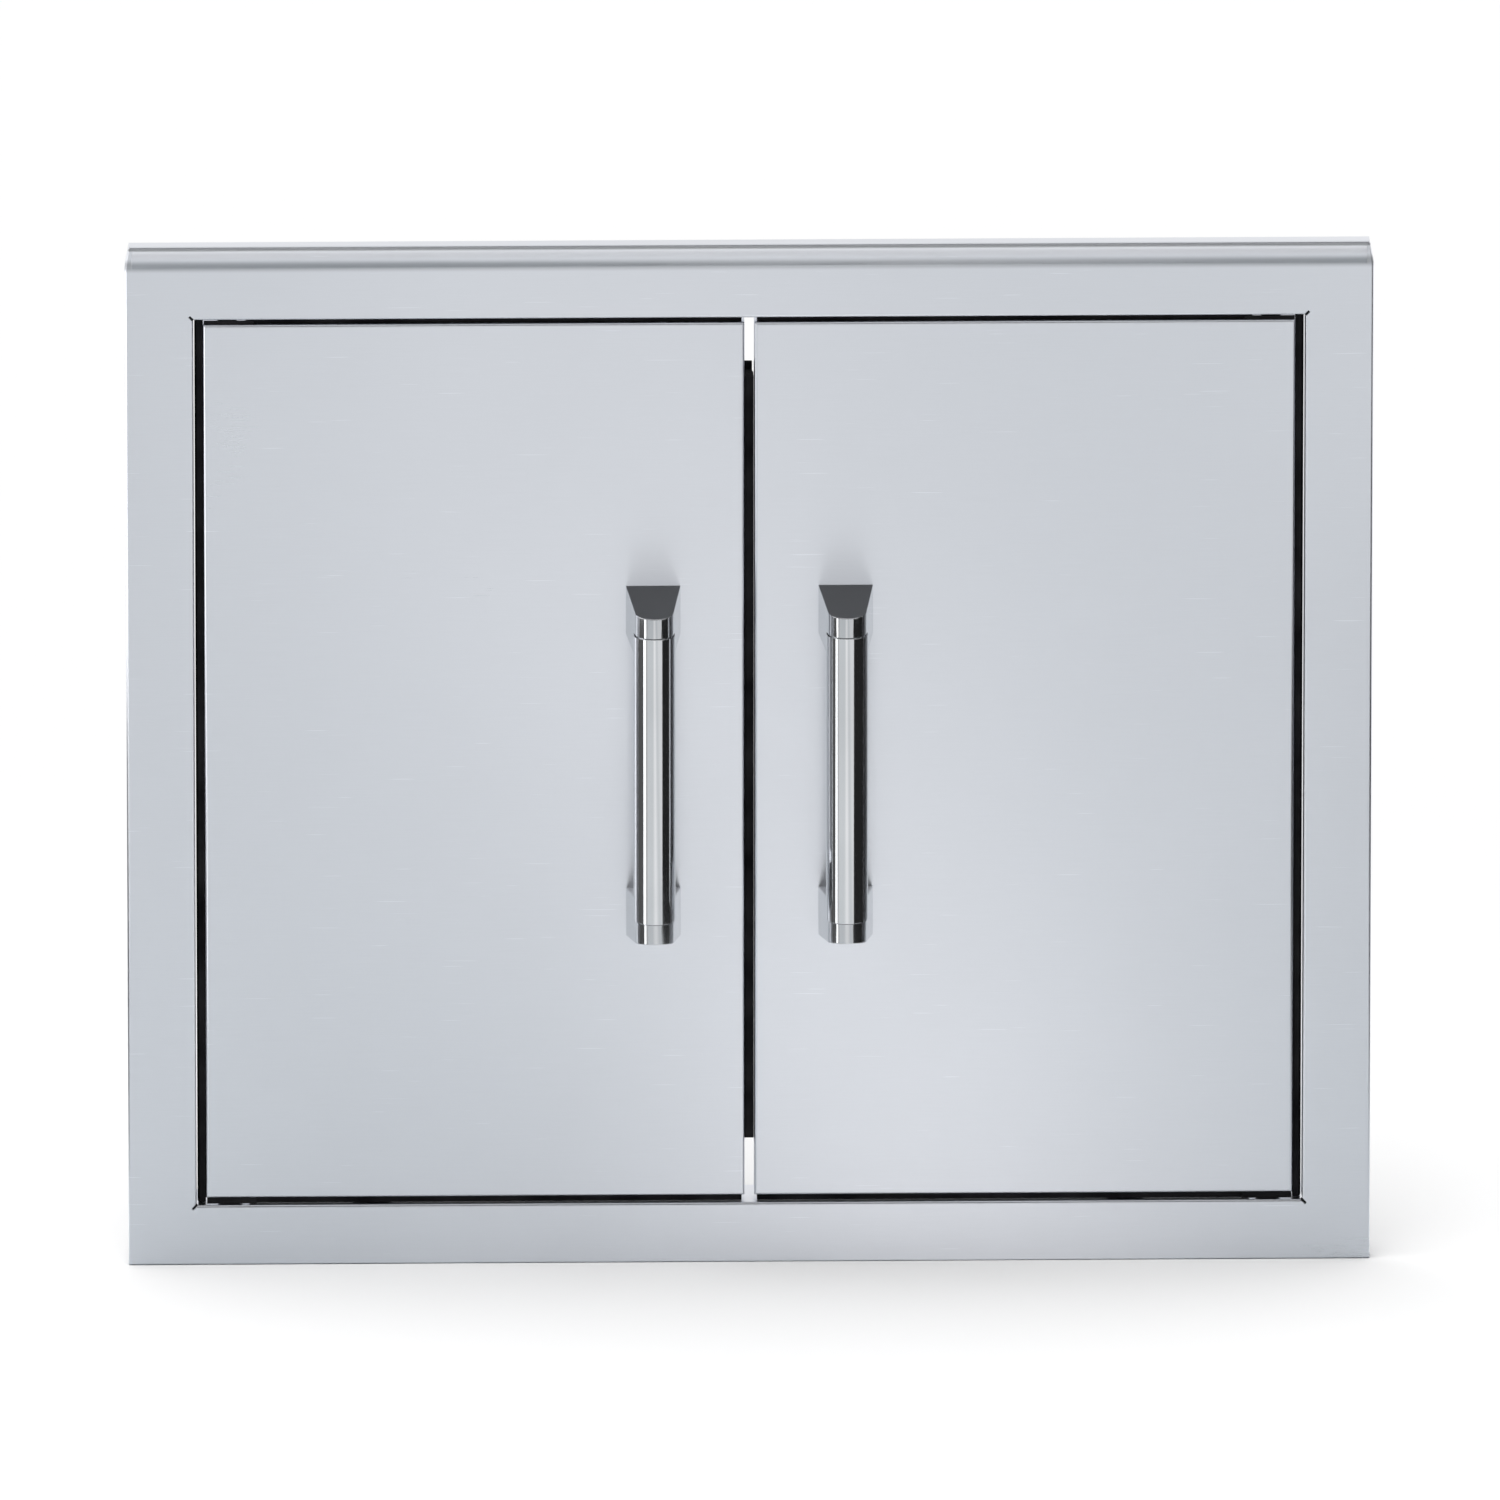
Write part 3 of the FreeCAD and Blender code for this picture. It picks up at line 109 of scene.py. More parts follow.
# %% [markdown]
# ## Finishes
# A finish is a tree of shader nodes. What several finishes share, such as the streaks of
# a brush, is built once as a group and placed in each of them with its own values. Three
# helpers keep the trees short: one opens a group, one lays a Math node and one a noise.

# %% Helpers for groups
def new_group(name, inputs, outputs):
    """An empty shader group with named sockets: (name, kind, value) and (name, kind)."""
    group = bpy.data.node_groups.new(name, "ShaderNodeTree")
    for label, kind, value in inputs:
        socket = group.interface.new_socket(label, in_out="INPUT", socket_type=kind)
        socket.default_value = value
    for label, kind in outputs:
        group.interface.new_socket(label, in_out="OUTPUT", socket_type=kind)
    return group, group.nodes.new("NodeGroupInput"), group.nodes.new("NodeGroupOutput")


def maths(tree, operation, first, second=None, third=None):
    """A Math node, whose inputs are sockets or numbers, and its output."""
    node = tree.nodes.new("ShaderNodeMath")
    node.operation = operation
    for socket, given in zip(node.inputs, (first, second, third)):
        if isinstance(given, bpy.types.NodeSocket):
            tree.links.new(given, socket)
        elif given is not None:
            socket.default_value = given
    return node.outputs[0]


def noise(tree, vector, scale, detail, roughness=0.5):
    """A noise node on a vector, and its value."""
    node = tree.nodes.new("ShaderNodeTexNoise")
    node.inputs["Scale"].default_value = scale
    node.inputs["Detail"].default_value = detail
    node.inputs["Roughness"].default_value = roughness
    tree.links.new(vector, node.inputs["Vector"])
    return node.outputs["Fac"]


def object_axes(tree):
    """X, Y and Z of the place on the object, as sockets of one node."""
    place = tree.nodes.new("ShaderNodeTexCoord")
    axes = tree.nodes.new("ShaderNodeSeparateXYZ")
    tree.links.new(place.outputs["Object"], axes.inputs[0])
    return axes.outputs


print("helpers made: new_group, maths, noise, object_axes")

# %% [markdown]
# Brushed sheet is steel with a million fine scratches, all one way. Two things show them:
# short streaks a hair lighter or darker than the sheet, and a sheen that spreads across
# the scratches. A stretched noise gives the streaks. Sheet is brushed flat and folded
# after, so the streaks run along X on the face and turn with the fold on the returns:
# adding X and Y as one length does that, and the returns at top and bottom take their
# width from Y. Handling leaves a few longer scratches, which are the peaks of a second
# noise. The group puts out both, and every steel places them for itself.

# %% Group: brush streaks
LEVEL_FROM = 0.6
SCRATCH_FROM = 0.74
SCRATCH_GAIN = 25.0
streaks, source, result = new_group(
    "brush_streaks",
    [("Along", "NodeSocketFloat", 30.0), ("Across", "NodeSocketFloat", 1500.0)],
    [("Streak", "NodeSocketFloat"), ("Scratch", "NodeSocketFloat")],
)
axes = object_axes(streaks)
normals = streaks.nodes.new("ShaderNodeTexCoord")
facing = streaks.nodes.new("ShaderNodeSeparateXYZ")
streaks.links.new(normals.outputs["Normal"], facing.inputs[0])
upward = maths(streaks, "ABSOLUTE", facing.outputs["Z"])
lies_level = maths(streaks, "GREATER_THAN", upward, LEVEL_FROM)
length = maths(streaks, "ADD", axes["X"], axes["Y"])
width = maths(streaks, "MULTIPLY_ADD", axes["Y"], lies_level, axes["Z"])
flow = streaks.nodes.new("ShaderNodeCombineXYZ")
for across, size, socket in (("X", length, "Along"), ("Y", width, "Across")):
    stretched = maths(streaks, "MULTIPLY", size, source.outputs[socket])
    streaks.links.new(stretched, flow.inputs[across])
streaks.links.new(noise(streaks, flow.outputs[0], 1.0, 3.0, 0.6), result.inputs["Streak"])
peaks = maths(streaks, "SUBTRACT", noise(streaks, flow.outputs[0], 0.7, 1.0, 0.4), SCRATCH_FROM)
peaks = maths(streaks, "MINIMUM", maths(streaks, "MULTIPLY", peaks, SCRATCH_GAIN), 1.0)
streaks.links.new(maths(streaks, "MAXIMUM", peaks, 0.0), result.inputs["Scratch"])
print("group brush_streaks:", len(streaks.nodes), "nodes")

# %% [markdown]
# Nothing made of sheet stays as even as on the drawing board. Hands and cloths leave a
# film that dulls the metal in slow patches, and edges get rubbed bright. The film is a
# slow noise. The rub compares the true normal with one rounded over a short radius: they
# only part company beside an edge.

# %% Groups: handling film and rubbed edges
RUB_GAIN = 6.0
film, source, result = new_group(
    "handling_film", [("Size", "NodeSocketFloat", 5.0)], [("Film", "NodeSocketFloat")]
)
place = film.nodes.new("ShaderNodeTexCoord")
spread = film.nodes.new("ShaderNodeTexNoise")
spread.inputs["Detail"].default_value = 3.0
film.links.new(place.outputs["Object"], spread.inputs["Vector"])
film.links.new(source.outputs["Size"], spread.inputs["Scale"])
film.links.new(spread.outputs["Fac"], result.inputs["Film"])

rub, source, result = new_group(
    "rubbed_edges",
    [("Radius", "NodeSocketFloat", 0.0005)],
    [("Rub", "NodeSocketFloat"), ("Soft Normal", "NodeSocketVector")],
)
rounded = rub.nodes.new("ShaderNodeBevel")
rounded.samples = 4
surface = rub.nodes.new("ShaderNodeNewGeometry")
agree = rub.nodes.new("ShaderNodeVectorMath")
agree.operation = "DOT_PRODUCT"
rub.links.new(source.outputs["Radius"], rounded.inputs["Radius"])
rub.links.new(rounded.outputs["Normal"], agree.inputs[0])
rub.links.new(surface.outputs["Normal"], agree.inputs[1])
apart = maths(rub, "SUBTRACT", 1.0, agree.outputs["Value"])
rub.links.new(maths(rub, "MULTIPLY", apart, RUB_GAIN), result.inputs["Rub"])
rub.links.new(rounded.outputs["Normal"], result.inputs["Soft Normal"])
print("groups handling_film and rubbed_edges made")

# %% [markdown]
# Every finish starts alike: the values that hold all over are set on the shader itself,
# and only what changes from place to place is linked. The first helper opens such a
# material. The next two place a group in it and mix two colours.

# %% Opening a material
def new_material(name, **constants):
    """A material, its tree and its shader, with the values that hold all over it."""
    material = bpy.data.materials.new(name)
    material.use_nodes = True
    tree = material.node_tree
    shader = tree.nodes["Principled BSDF"]
    for label, value in constants.items():
        shader.inputs[label.replace("_", " ")].default_value = value
    return material, tree, shader


def use_group(tree, group, **values):
    node = tree.nodes.new("ShaderNodeGroup")
    node.node_tree = group
    for label, value in values.items():
        node.inputs[label].default_value = value
    return node.outputs


def mix_colours(tree, share, low, high):
    """Goes from low to high, which are colours or sockets, as the share goes from 0 to 1."""
    node = tree.nodes.new("ShaderNodeMix")
    node.data_type = "RGBA"
    tree.links.new(share, node.inputs["Factor"])
    for socket, colour in ((node.inputs["A"], low), (node.inputs["B"], high)):
        if isinstance(colour, bpy.types.NodeSocket):
            tree.links.new(colour, socket)
        else:
            socket.default_value = (*colour, 1.0)
    return node.outputs["Result"]


print("helpers made: new_material, use_group, mix_colours")

# %% [markdown]
# A noise or a distance is seldom in the range that a socket wants. `mapped` takes it there
# with a Map Range node, and `spread_over` does so for a noise, which keeps near its middle.
# A fine grain is added as a bump, because it is far too small to be modelled.

# %% Ranges and bumps
NOISE_RANGE = (0.3, 0.7)  # a noise seldom leaves it


def mapped(tree, value, start, end, low, high, kind="SMOOTHSTEP"):
    """Goes from low to high while the value goes from start to end, and holds there."""
    node = tree.nodes.new("ShaderNodeMapRange")
    node.interpolation_type = kind
    tree.links.new(value, node.inputs["Value"])
    for label, number in (
        ("From Min", start),
        ("From Max", end),
        ("To Min", low),
        ("To Max", high),
    ):
        node.inputs[label].default_value = number
    return node.outputs["Result"]


def spread_over(tree, value, low, high):
    """Spreads a noise over a whole range."""
    return mapped(tree, value, *NOISE_RANGE, low, high, kind="LINEAR")


def add_bump(tree, shader, height, normal, strength, depth):
    """Raises a normal by a height, with a depth in metres."""
    bump = tree.nodes.new("ShaderNodeBump")
    bump.inputs["Strength"].default_value = strength
    bump.inputs["Distance"].default_value = depth
    tree.links.new(height, bump.inputs["Height"])
    tree.links.new(normal, bump.inputs["Normal"])
    tree.links.new(bump.outputs["Normal"], shader.inputs["Normal"])


print("helpers made: mapped, spread_over, add_bump")

# %% [markdown]
# One function lays the sheet steels, since they differ in numbers alone: how pale the
# metal is, how rough, how strong the streaks are and how far the sheen is drawn out. The
# frame's top rail has a pressed bead as well. Two narrow bands on it, one under its ridge and
# one along its top, are painted darker. This is painted shade, since the hollows there are so
# narrow that they hold shade. Its ridge was rubbed matt by the press. The shade and the matt
# ridge are bands along X at a height, on the front only.

# %% Sheet steel
FRONT_BEFORE = -0.006
CREASE_SHADE_PAINT = (0.10, 0.105, 0.11)
RUBBED_PALER = 1.08
STREAK_ROUGH = 0.06
RIDGE_ROUGH = 0.4


def along_x(tree, height, half, value):
    """A band along X on the front at a height. It holds a value and fades at its sides."""
    axes = object_axes(tree)
    off = maths(tree, "ABSOLUTE", maths(tree, "SUBTRACT", axes["Z"], height))
    band = mapped(tree, off, 0.15 * half, half, value, 0.0)
    return maths(tree, "MULTIPLY", band, maths(tree, "LESS_THAN", axes["Y"], FRONT_BEFORE))


def sheet_steel(name, pale, dark, rough, grain, drawn, shaded_creases=(), ridge=None):
    """Sheet with brush streaks. rough is a pair, grain the streaks' share, drawn the sheen's.

    The crease bands, which are painted shade, and the ridge run along X. Each is a height and
    a half width in metres and a value: how dark the painted shade is, and how matt the ridge is.
    """
    material, tree, shader = new_material(
        name, Metallic=1.0, Anisotropic=drawn, Anisotropic_Rotation=0.25
    )
    fine = use_group(tree, streaks, Along=40.0, Across=1700.0)
    coarse = use_group(tree, streaks, Along=13.0, Across=560.0)
    dull = use_group(tree, film, Size=4.0)
    edge = use_group(tree, rub, Radius=0.0004)
    fine_share = spread_over(tree, fine["Streak"], 0.5 - grain, 0.5 + grain)
    coarse_share = spread_over(tree, coarse["Streak"], -grain / 5, grain / 5)
    colour = mix_colours(tree, maths(tree, "ADD", fine_share, coarse_share), dark, pale)
    bright = tuple(min(1.0, RUBBED_PALER * part) for part in pale)
    rubbed = maths(tree, "MAXIMUM", edge["Rub"], fine["Scratch"])
    colour = mix_colours(tree, maths(tree, "MINIMUM", rubbed, 1.0), colour, bright)
    # painted shade: each crease band darkens the base colour
    for crease in shaded_creases:
        colour = mix_colours(tree, along_x(tree, *crease), colour, CREASE_SHADE_PAINT)
    tree.links.new(colour, shader.inputs["Base Color"])
    uneven = spread_over(tree, dull["Film"], *rough)
    uneven = maths(tree, "MULTIPLY_ADD", fine_share, STREAK_ROUGH, uneven)
    uneven = maths(tree, "SUBTRACT", uneven, STREAK_ROUGH / 2)
    if ridge:
        matt = along_x(tree, *ridge)
        uneven = maths(tree, "MULTIPLY_ADD", matt, RIDGE_ROUGH, uneven)
        tree.links.new(maths(tree, "SUBTRACT", 1.0, matt), shader.inputs["Metallic"])
    tree.links.new(uneven, shader.inputs["Roughness"])
    add_bump(tree, shader, fine["Streak"], edge["Soft Normal"], 0.1, 0.00002)
    return material


print("helpers made: along_x, sheet_steel")

# %% [markdown]
# The doors and the frame are cut from the same sheet, with a fine brush, so one set of
# numbers serves both. The liners, brackets and plates inside are of a plainer grade, duller
# and with coarser streaks.

# %% Three sheet steels
BRUSHED = ((0.83, 0.85, 0.90), (0.75, 0.77, 0.815), (0.27, 0.32), 0.08, 0.6)
brushed_face = sheet_steel("brushed_face_steel", *BRUSHED)
brushed_frame = sheet_steel(
    "brushed_frame_steel",
    *BRUSHED,
    # painted shade in two narrow bands of the bead, one under its ridge and one along its top
    shaded_creases=((0.2689, 0.0042, 0.52), (0.2776, 0.0011, 0.6)),
    ridge=(0.2752, 0.0042, 0.4),
)
inner_steel = sheet_steel(
    "satin_inner_steel", (0.66, 0.67, 0.68), (0.55, 0.56, 0.57), (0.34, 0.44), 0.3, 0.3
)
print("sheet steels:", brushed_face.name, brushed_frame.name, inner_steel.name)

# %% [markdown]
# The handle is bright: a polished tube between two plated castings. A mirror has hardly a
# colour of its own, so the work is in the roughness. The tube keeps faint rings from its
# polishing wheel, and the casting has the slight waviness of metal that was poured.

# %% Bright metals
FILM_DARKER = 0.93


def bright_metal(name, colour, rough, wave_size, wave_depth, stretch=(1, 1, 1), rim=0.0003):
    """Polished or plated metal with a waviness of a given size, per metre, and depth."""
    material, tree, shader = new_material(name, Metallic=1.0)
    place = tree.nodes.new("ShaderNodeTexCoord")
    scaled = tree.nodes.new("ShaderNodeMapping")
    scaled.inputs["Scale"].default_value = stretch
    tree.links.new(place.outputs["Object"], scaled.inputs["Vector"])
    waves = noise(tree, scaled.outputs[0], wave_size, 3.0)
    dull = use_group(tree, film, Size=18.0)
    edge = use_group(tree, rub, Radius=rim)
    darker = tuple(FILM_DARKER * part for part in colour)
    tone = mix_colours(tree, spread_over(tree, dull["Film"], 0.0, 1.0), colour, darker)
    tree.links.new(tone, shader.inputs["Base Color"])
    tree.links.new(spread_over(tree, dull["Film"], *rough), shader.inputs["Roughness"])
    add_bump(tree, shader, waves, edge["Soft Normal"], 0.3, wave_depth)
    return material


polished_bar = bright_metal(
    "polished_bar", (0.76, 0.77, 0.79), (0.06, 0.11), 60.0, 0.00002, (1, 1, 6), rim=0.0001
)
plated_post = bright_metal("plated_post", (0.64, 0.65, 0.67), (0.07, 0.13), 90.0, 0.00004)
plain_steel = bright_metal("zinc_plated_steel", (0.60, 0.61, 0.62), (0.25, 0.38), 700.0, 0.00003)
spring_steel = bright_metal("drawn_spring_wire", (0.44, 0.45, 0.47), (0.22, 0.34), 900.0, 0.00003)
print("bright metals:", polished_bar.name, plated_post.name, plain_steel.name, spring_steel.name)

# %% [markdown]
# Rubber, nylon, moulded plastic and ferrite aren't metals: their colour is in the body of
# the stuff and their gloss on top. Each has its own grain, so one function takes the
# grain's size and depth and how far the colour wanders.

# %% Soft and moulded stuffs
DUST_PALE = 0.02


def moulded(name, colour, rough, grain_size, grain_depth, wander, **constants):
    """Stuff with a fine grain, per metre, whose colour wanders by a share of itself."""
    material, tree, shader = new_material(name, Metallic=0.0, **constants)
    place = tree.nodes.new("ShaderNodeTexCoord")
    grain = noise(tree, place.outputs["Object"], grain_size, 4.0, 0.6)
    dust = use_group(tree, film, Size=40.0)
    edge = use_group(tree, rub, Radius=0.0003)
    paler = tuple(min(1.0, part * (1 + wander) + DUST_PALE * wander) for part in colour)
    tone = mix_colours(tree, spread_over(tree, dust["Film"], 0.0, 1.0), colour, paler)
    tree.links.new(tone, shader.inputs["Base Color"])
    tree.links.new(spread_over(tree, grain, *rough), shader.inputs["Roughness"])
    add_bump(tree, shader, grain, edge["Soft Normal"], 0.5, grain_depth)
    return material


# Near-black with almost no gloss, darker than rubber is: on the strips in the gaps this is painted
# shade as well as rubber, and on the pads it is their rubber.
rubber_and_gap_shade = moulded(
    "black_rubber",
    (0.004, 0.004, 0.005),
    (0.6, 0.85),
    900.0,
    0.00005,
    0.6,
    Specular_IOR_Level=0.05,
)
nylon = moulded("black_nylon", (0.022, 0.022, 0.023), (0.32, 0.45), 500.0, 0.00002, 0.3)
catch_plastic = moulded("black_plastic", (0.02, 0.02, 0.021), (0.38, 0.55), 1400.0, 0.00004, 0.4)
ferrite = moulded("sintered_ferrite", (0.055, 0.054, 0.056), (0.5, 0.7), 1800.0, 0.00006, 0.3)
print("moulded stuffs:", rubber_and_gap_shade.name, nylon.name, catch_plastic.name, ferrite.name)

# %% [markdown]
# A spot weld is a small round dimple with a faint straw-coloured ring, where the heat went.
# The distance to each weld's middle comes from its own map, whose U and V run from -1 to 1
# over one disc, and a colour ramp turns it into the ring. `fill_ramp` takes the ramp's stops
# as a list.

# %% Weld marks
def fill_ramp(node, stops):
    """Gives a colour ramp its (place, colour) stops, which come in rising order."""
    spots = node.color_ramp.elements
    while len(spots) < len(stops):
        spots.new(1.0)
    for spot, (place, colour) in zip(spots, stops):
        spot.position = place
        spot.color = (*colour, 1.0)


weld_mark, tree, shader = new_material("spot_weld_mark", Metallic=1.0)
disc_map = tree.nodes.new("ShaderNodeUVMap")
disc_map.uv_map = "disc"
reach = tree.nodes.new("ShaderNodeVectorMath")
reach.operation = "LENGTH"
tree.links.new(disc_map.outputs["UV"], reach.inputs[0])
ring = tree.nodes.new("ShaderNodeValToRGB")
fill_ramp(
    ring,
    [
        (0.0, (0.50, 0.51, 0.52)),
        (0.62, (0.42, 0.42, 0.43)),
        (0.80, (0.56, 0.51, 0.44)),
        (1.0, (1.0, 1.0, 1.0)),
    ],
)
tree.links.new(reach.outputs["Value"], ring.inputs["Fac"])
tree.links.new(ring.outputs["Color"], shader.inputs["Base Color"])
dull = use_group(tree, film, Size=300.0)
tree.links.new(spread_over(tree, dull["Film"], 0.3, 0.5), shader.inputs["Roughness"])
print("weld mark ring:", len(ring.color_ramp.elements), "stops")

# %% [markdown]
# ## How a piece is made
# A millimetre is the maker's unit here, and Blender works in metres, so one constant
# turns one into the other. The pieces' sizes are in millimetres, and round parts have a
# radius.
#
# A piece is worked as a bmesh. `in_scene` turns that into an object, and `finished` makes
# a piece of it: it joins doubled points, turns the faces outwards, keeps folds and rims
# crisp and lets round faces run smooth. The object stays at the origin with its place in
# its mesh. `stand_in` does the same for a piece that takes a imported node's place.

# %% Millimetres, and how a piece is finished
MM = 0.001
SAME_POINT = 1e-6
SIDES = (("left", -1), ("right", 1))


def in_scene(name, bm):
    """A bmesh becomes a mesh object of that name."""
    mesh = bpy.data.meshes.new(name)
    bm.to_mesh(mesh)
    bm.free()
    thing = bpy.data.objects.new(name, mesh)
    bpy.context.scene.collection.objects.link(thing)
    return thing


def finished(name, bm, body, finish, crisp=30):
    """A worked bmesh becomes a piece that rides on a body. crisp is in degrees."""
    bmesh.ops.remove_doubles(bm, verts=bm.verts, dist=SAME_POINT)
    bmesh.ops.recalc_face_normals(bm, faces=bm.faces)
    for face in bm.faces:
        face.smooth = True
    for edge in bm.edges:
        edge.smooth = edge.calc_face_angle(math.pi) < math.radians(crisp)
    piece = in_scene(name, bm)
    piece.data.materials.append(finish)
    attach(piece, body)
    return piece


def stand_in(node, form, bm, finish, crisp=30):
    """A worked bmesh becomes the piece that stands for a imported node."""
    piece = finished(f"{node}_{form}", bm, frame["nodes"][node]["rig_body"], finish, crisp)
    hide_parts(node)
    return piece


print("packed nodes to dress or to stand in for:", len(frame["nodes"]))

# %% [markdown]
# ## The sheet pieces
# The frame and the door skins already have their true shape, folds and all. Their meshes
# are loose triangles, though, which shade in flat strips round a fold. So a copy is merged
# and shaded smooth, its cut edges stay crisp, and a Weighted Normal modifier keeps the
# wide faces flat where they run into a fold.

# %% Merged copies of folded sheet
def merged_copy(node, form, finish, crisp=35):
    """A smooth piece that stands for a node, from the node's own mesh."""
    bm = bmesh.new()
    bm.from_mesh(frame["nodes"][node].data)
    return stand_in(node, form, bm, finish, crisp)


def keep_faces_flat(piece):
    even = piece.modifiers.new("flat_faces", "WEIGHTED_NORMAL")
    even.keep_sharp = True
    even.weight = 100
    return piece


for node, finish in (
    ("face_frame", brushed_frame),
    ("left_door_skin", brushed_face),
    ("right_door_skin", brushed_face),
):
    sheet = keep_faces_flat(merged_copy(node, "sheet", finish))
    print(sheet.name, len(sheet.data.polygons), "faces")

# %% [markdown]
# Flat blanks, angles and the magnet's parts are sheared or pressed, with crisp edges and
# no round faces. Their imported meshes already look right, so each node just takes its
# finish, in its own material slots.

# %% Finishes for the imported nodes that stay
def dress(node, finish):
    slots = frame["nodes"][node].data.materials
    slots.clear()
    slots.append(finish)


stay = {"upper_pivot_plates": inner_steel, "lower_pivot_plates": inner_steel}
for side, _ in SIDES:
    stay[f"{side}_door_liner"] = inner_steel
    stay[f"{side}_stop_bracket"] = inner_steel
    stay[f"{side}_upper_hinge_bracket"] = inner_steel
    stay[f"{side}_lower_hinge_bracket"] = inner_steel
    stay[f"{side}_strike_plate"] = plain_steel
    stay[f"{side}_catch_pole_plates"] = plain_steel
    stay[f"{side}_catch_magnet"] = ferrite
    stay[f"{side}_hinge_clip"] = spring_steel
    stay[f"{side}_handle_screws"] = plain_steel
for node, finish in stay.items():
    dress(node, finish)
print("dressed:", len(stay), "packed nodes")

# %% [markdown]
# Rubber and moulded plastic never have a knife edge, because a mould can't fill one. A
# merged copy with a Bevel modifier rounds the catches, the pads and the seals a little.

# %% Moulded pieces with soft edges
def soften(piece, radius_mm):
    soft = piece.modifiers.new("moulded_edge", "BEVEL")
    soft.width = radius_mm * MM
    soft.segments = 2
    soft.limit_method = "ANGLE"
    soft.angle_limit = math.radians(40)
    soft.harden_normals = True
    return piece


# The centre, top, bottom and hinge strips fill the gaps round the doors in near-black: they are
# partly rubber seals and partly painted shade, because the gaps are dark from shade.
soften(merged_copy("centre_seal", "strip", rubber_and_gap_shade), 0.25)
for side, _ in SIDES:
    soften(merged_copy(f"{side}_stop_bumper", "pad", rubber_and_gap_shade), 0.6)
    soften(merged_copy(f"{side}_catch_housing", "moulding", catch_plastic), 0.3)
    for edge in ("top", "bottom", "hinge"):
        soften(merged_copy(f"{side}_{edge}_edge_seal", "strip", rubber_and_gap_shade), 0.3)
print("softened: seven seals, two pads and two catch housings")

# %% [markdown]
# The top and bottom strips stop short of the hinge pins, and only a thin lip of them runs
# on, in front of the bush. It keeps the gap dark up to the corner: it is a near-black piece
# where the gap is in shade, which makes it painted shade. It has the same section all the way
# up, so its plan is drawn as a few points, filled and pulled up to the strip's height.

# %% Lips past the hinge pins
LIP_BACK = -6.5
LIP_FRONT = -8.0
LIP_PLAN = (
    (262.0, LIP_FRONT),
    (288.4, LIP_FRONT),
    (288.4, -7.0),
    (267.2, -7.0),
    (266.0, LIP_BACK),
    (262.0, LIP_BACK),
)


def pull_up(bm, faces, height):
    """Extrudes faces and lifts what grew, by a height in metres."""
    grown = bmesh.ops.extrude_face_region(bm, geom=faces)["geom"]
    up = [item for item in grown if isinstance(item, bmesh.types.BMVert)]
    bmesh.ops.translate(bm, verts=up, vec=(0, 0, height))


for side, sign in SIDES:
    for edge in ("top", "bottom"):
        low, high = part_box(f"{side}_{edge}_edge_seal")
        bm = bmesh.new()
        plan = bm.faces.new([bm.verts.new((sign * x * MM, y * MM, low.z)) for x, y in LIP_PLAN])
        pull_up(bm, [plan], high.z - low.z)
        # painted shade: a near-black lip where the gap is in shade
        lip = finished(f"{side}_{edge}_edge_lip", bm, f"{side}_door", rubber_and_gap_shade)
        print(lip.name, f"{(high.z - low.z) / MM:.1f} mm high")

# %% [markdown]
# The strip beside the hinge reaches past the door's corners and nearly touches the sleeve:
# its end points are moved out until the same slit is left as elsewhere. The longer strip
# keeps the corners dark as painted shade, because the gap is dark from shade there.

# %% Ends of the hinge strips
# painted shade: the strip's ends are carried to the corners to keep them dark
for side, _ in SIDES:
    strip = bpy.data.objects[f"{side}_hinge_edge_seal_strip"].data
    ends = (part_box(f"{side}_bottom_edge_seal")[0].z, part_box(f"{side}_top_edge_seal")[1].z)
    for vert in strip.vertices:
        vert.co.z = ends[0] if vert.co.z < 0 else ends[1]
    print(f"{side} hinge strip now runs from {ends[0] / MM:.1f} to {ends[1] / MM:.1f} mm")

# %% [markdown]
# The opening's four flaps meet at its corners, where a slit keeps the folds from tearing.
# A small block closes each slit a little behind the face, where a tack weld would sit. Its
# near-black finish is painted shade for the dark inside of the corner. A cube, scaled and
# turned by half a right angle, is enough for that.

# %% Corner shade blocks
OPENING_SIDE = 294.0
OPENING_FLOOR = -246.5
OPENING_TOP = 239.1
SLIT_WIDE = 1.28
SLIT_REACH = 3.0
BLOCK_BEHIND = 1.0
BLOCK_DEEP = 3.0
# painted shade: a near-black finish for the blocks that close the corner slits
corner_shade_finish = bright_metal("painted_corner_shade", (0.05, 0.05, 0.055), (0.5, 0.7), 1500.0, 0.00005)
along = SLIT_REACH / 2 / math.sqrt(2) * MM
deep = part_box("left_door_skin")[0].y + (BLOCK_BEHIND + BLOCK_DEEP / 2) * MM
bm = bmesh.new()
for out_x in (-1, 1):
    for z, out_z in ((OPENING_FLOOR, -1), (OPENING_TOP, 1)):
        shade_block = bmesh.ops.create_cube(bm, size=1.0)["verts"]
        size = (SLIT_REACH * MM, BLOCK_DEEP * MM, SLIT_WIDE * MM)
        bmesh.ops.scale(bm, vec=size, verts=shade_block)
        turn = Matrix.Rotation(-out_x * out_z * math.pi / 4, 3, "Y")
        bmesh.ops.rotate(bm, verts=shade_block, cent=(0, 0, 0), matrix=turn)
        at = (out_x * (OPENING_SIDE * MM + along), deep, z * MM + out_z * along)
        bmesh.ops.translate(bm, verts=shade_block, vec=at)
finished("corner_shade_blocks", bm, "frame", corner_shade_finish)
print("corner welds: 4")

# %% [markdown]
# ## The handles
# Round pieces come from a lathe in life, and from `spin` here: a few points give half of
# the section, and the operator turns them round an upright axis. A closed section gives a
# ring or a tube. The ends of an open one lie on the axis, where the spun points meet.

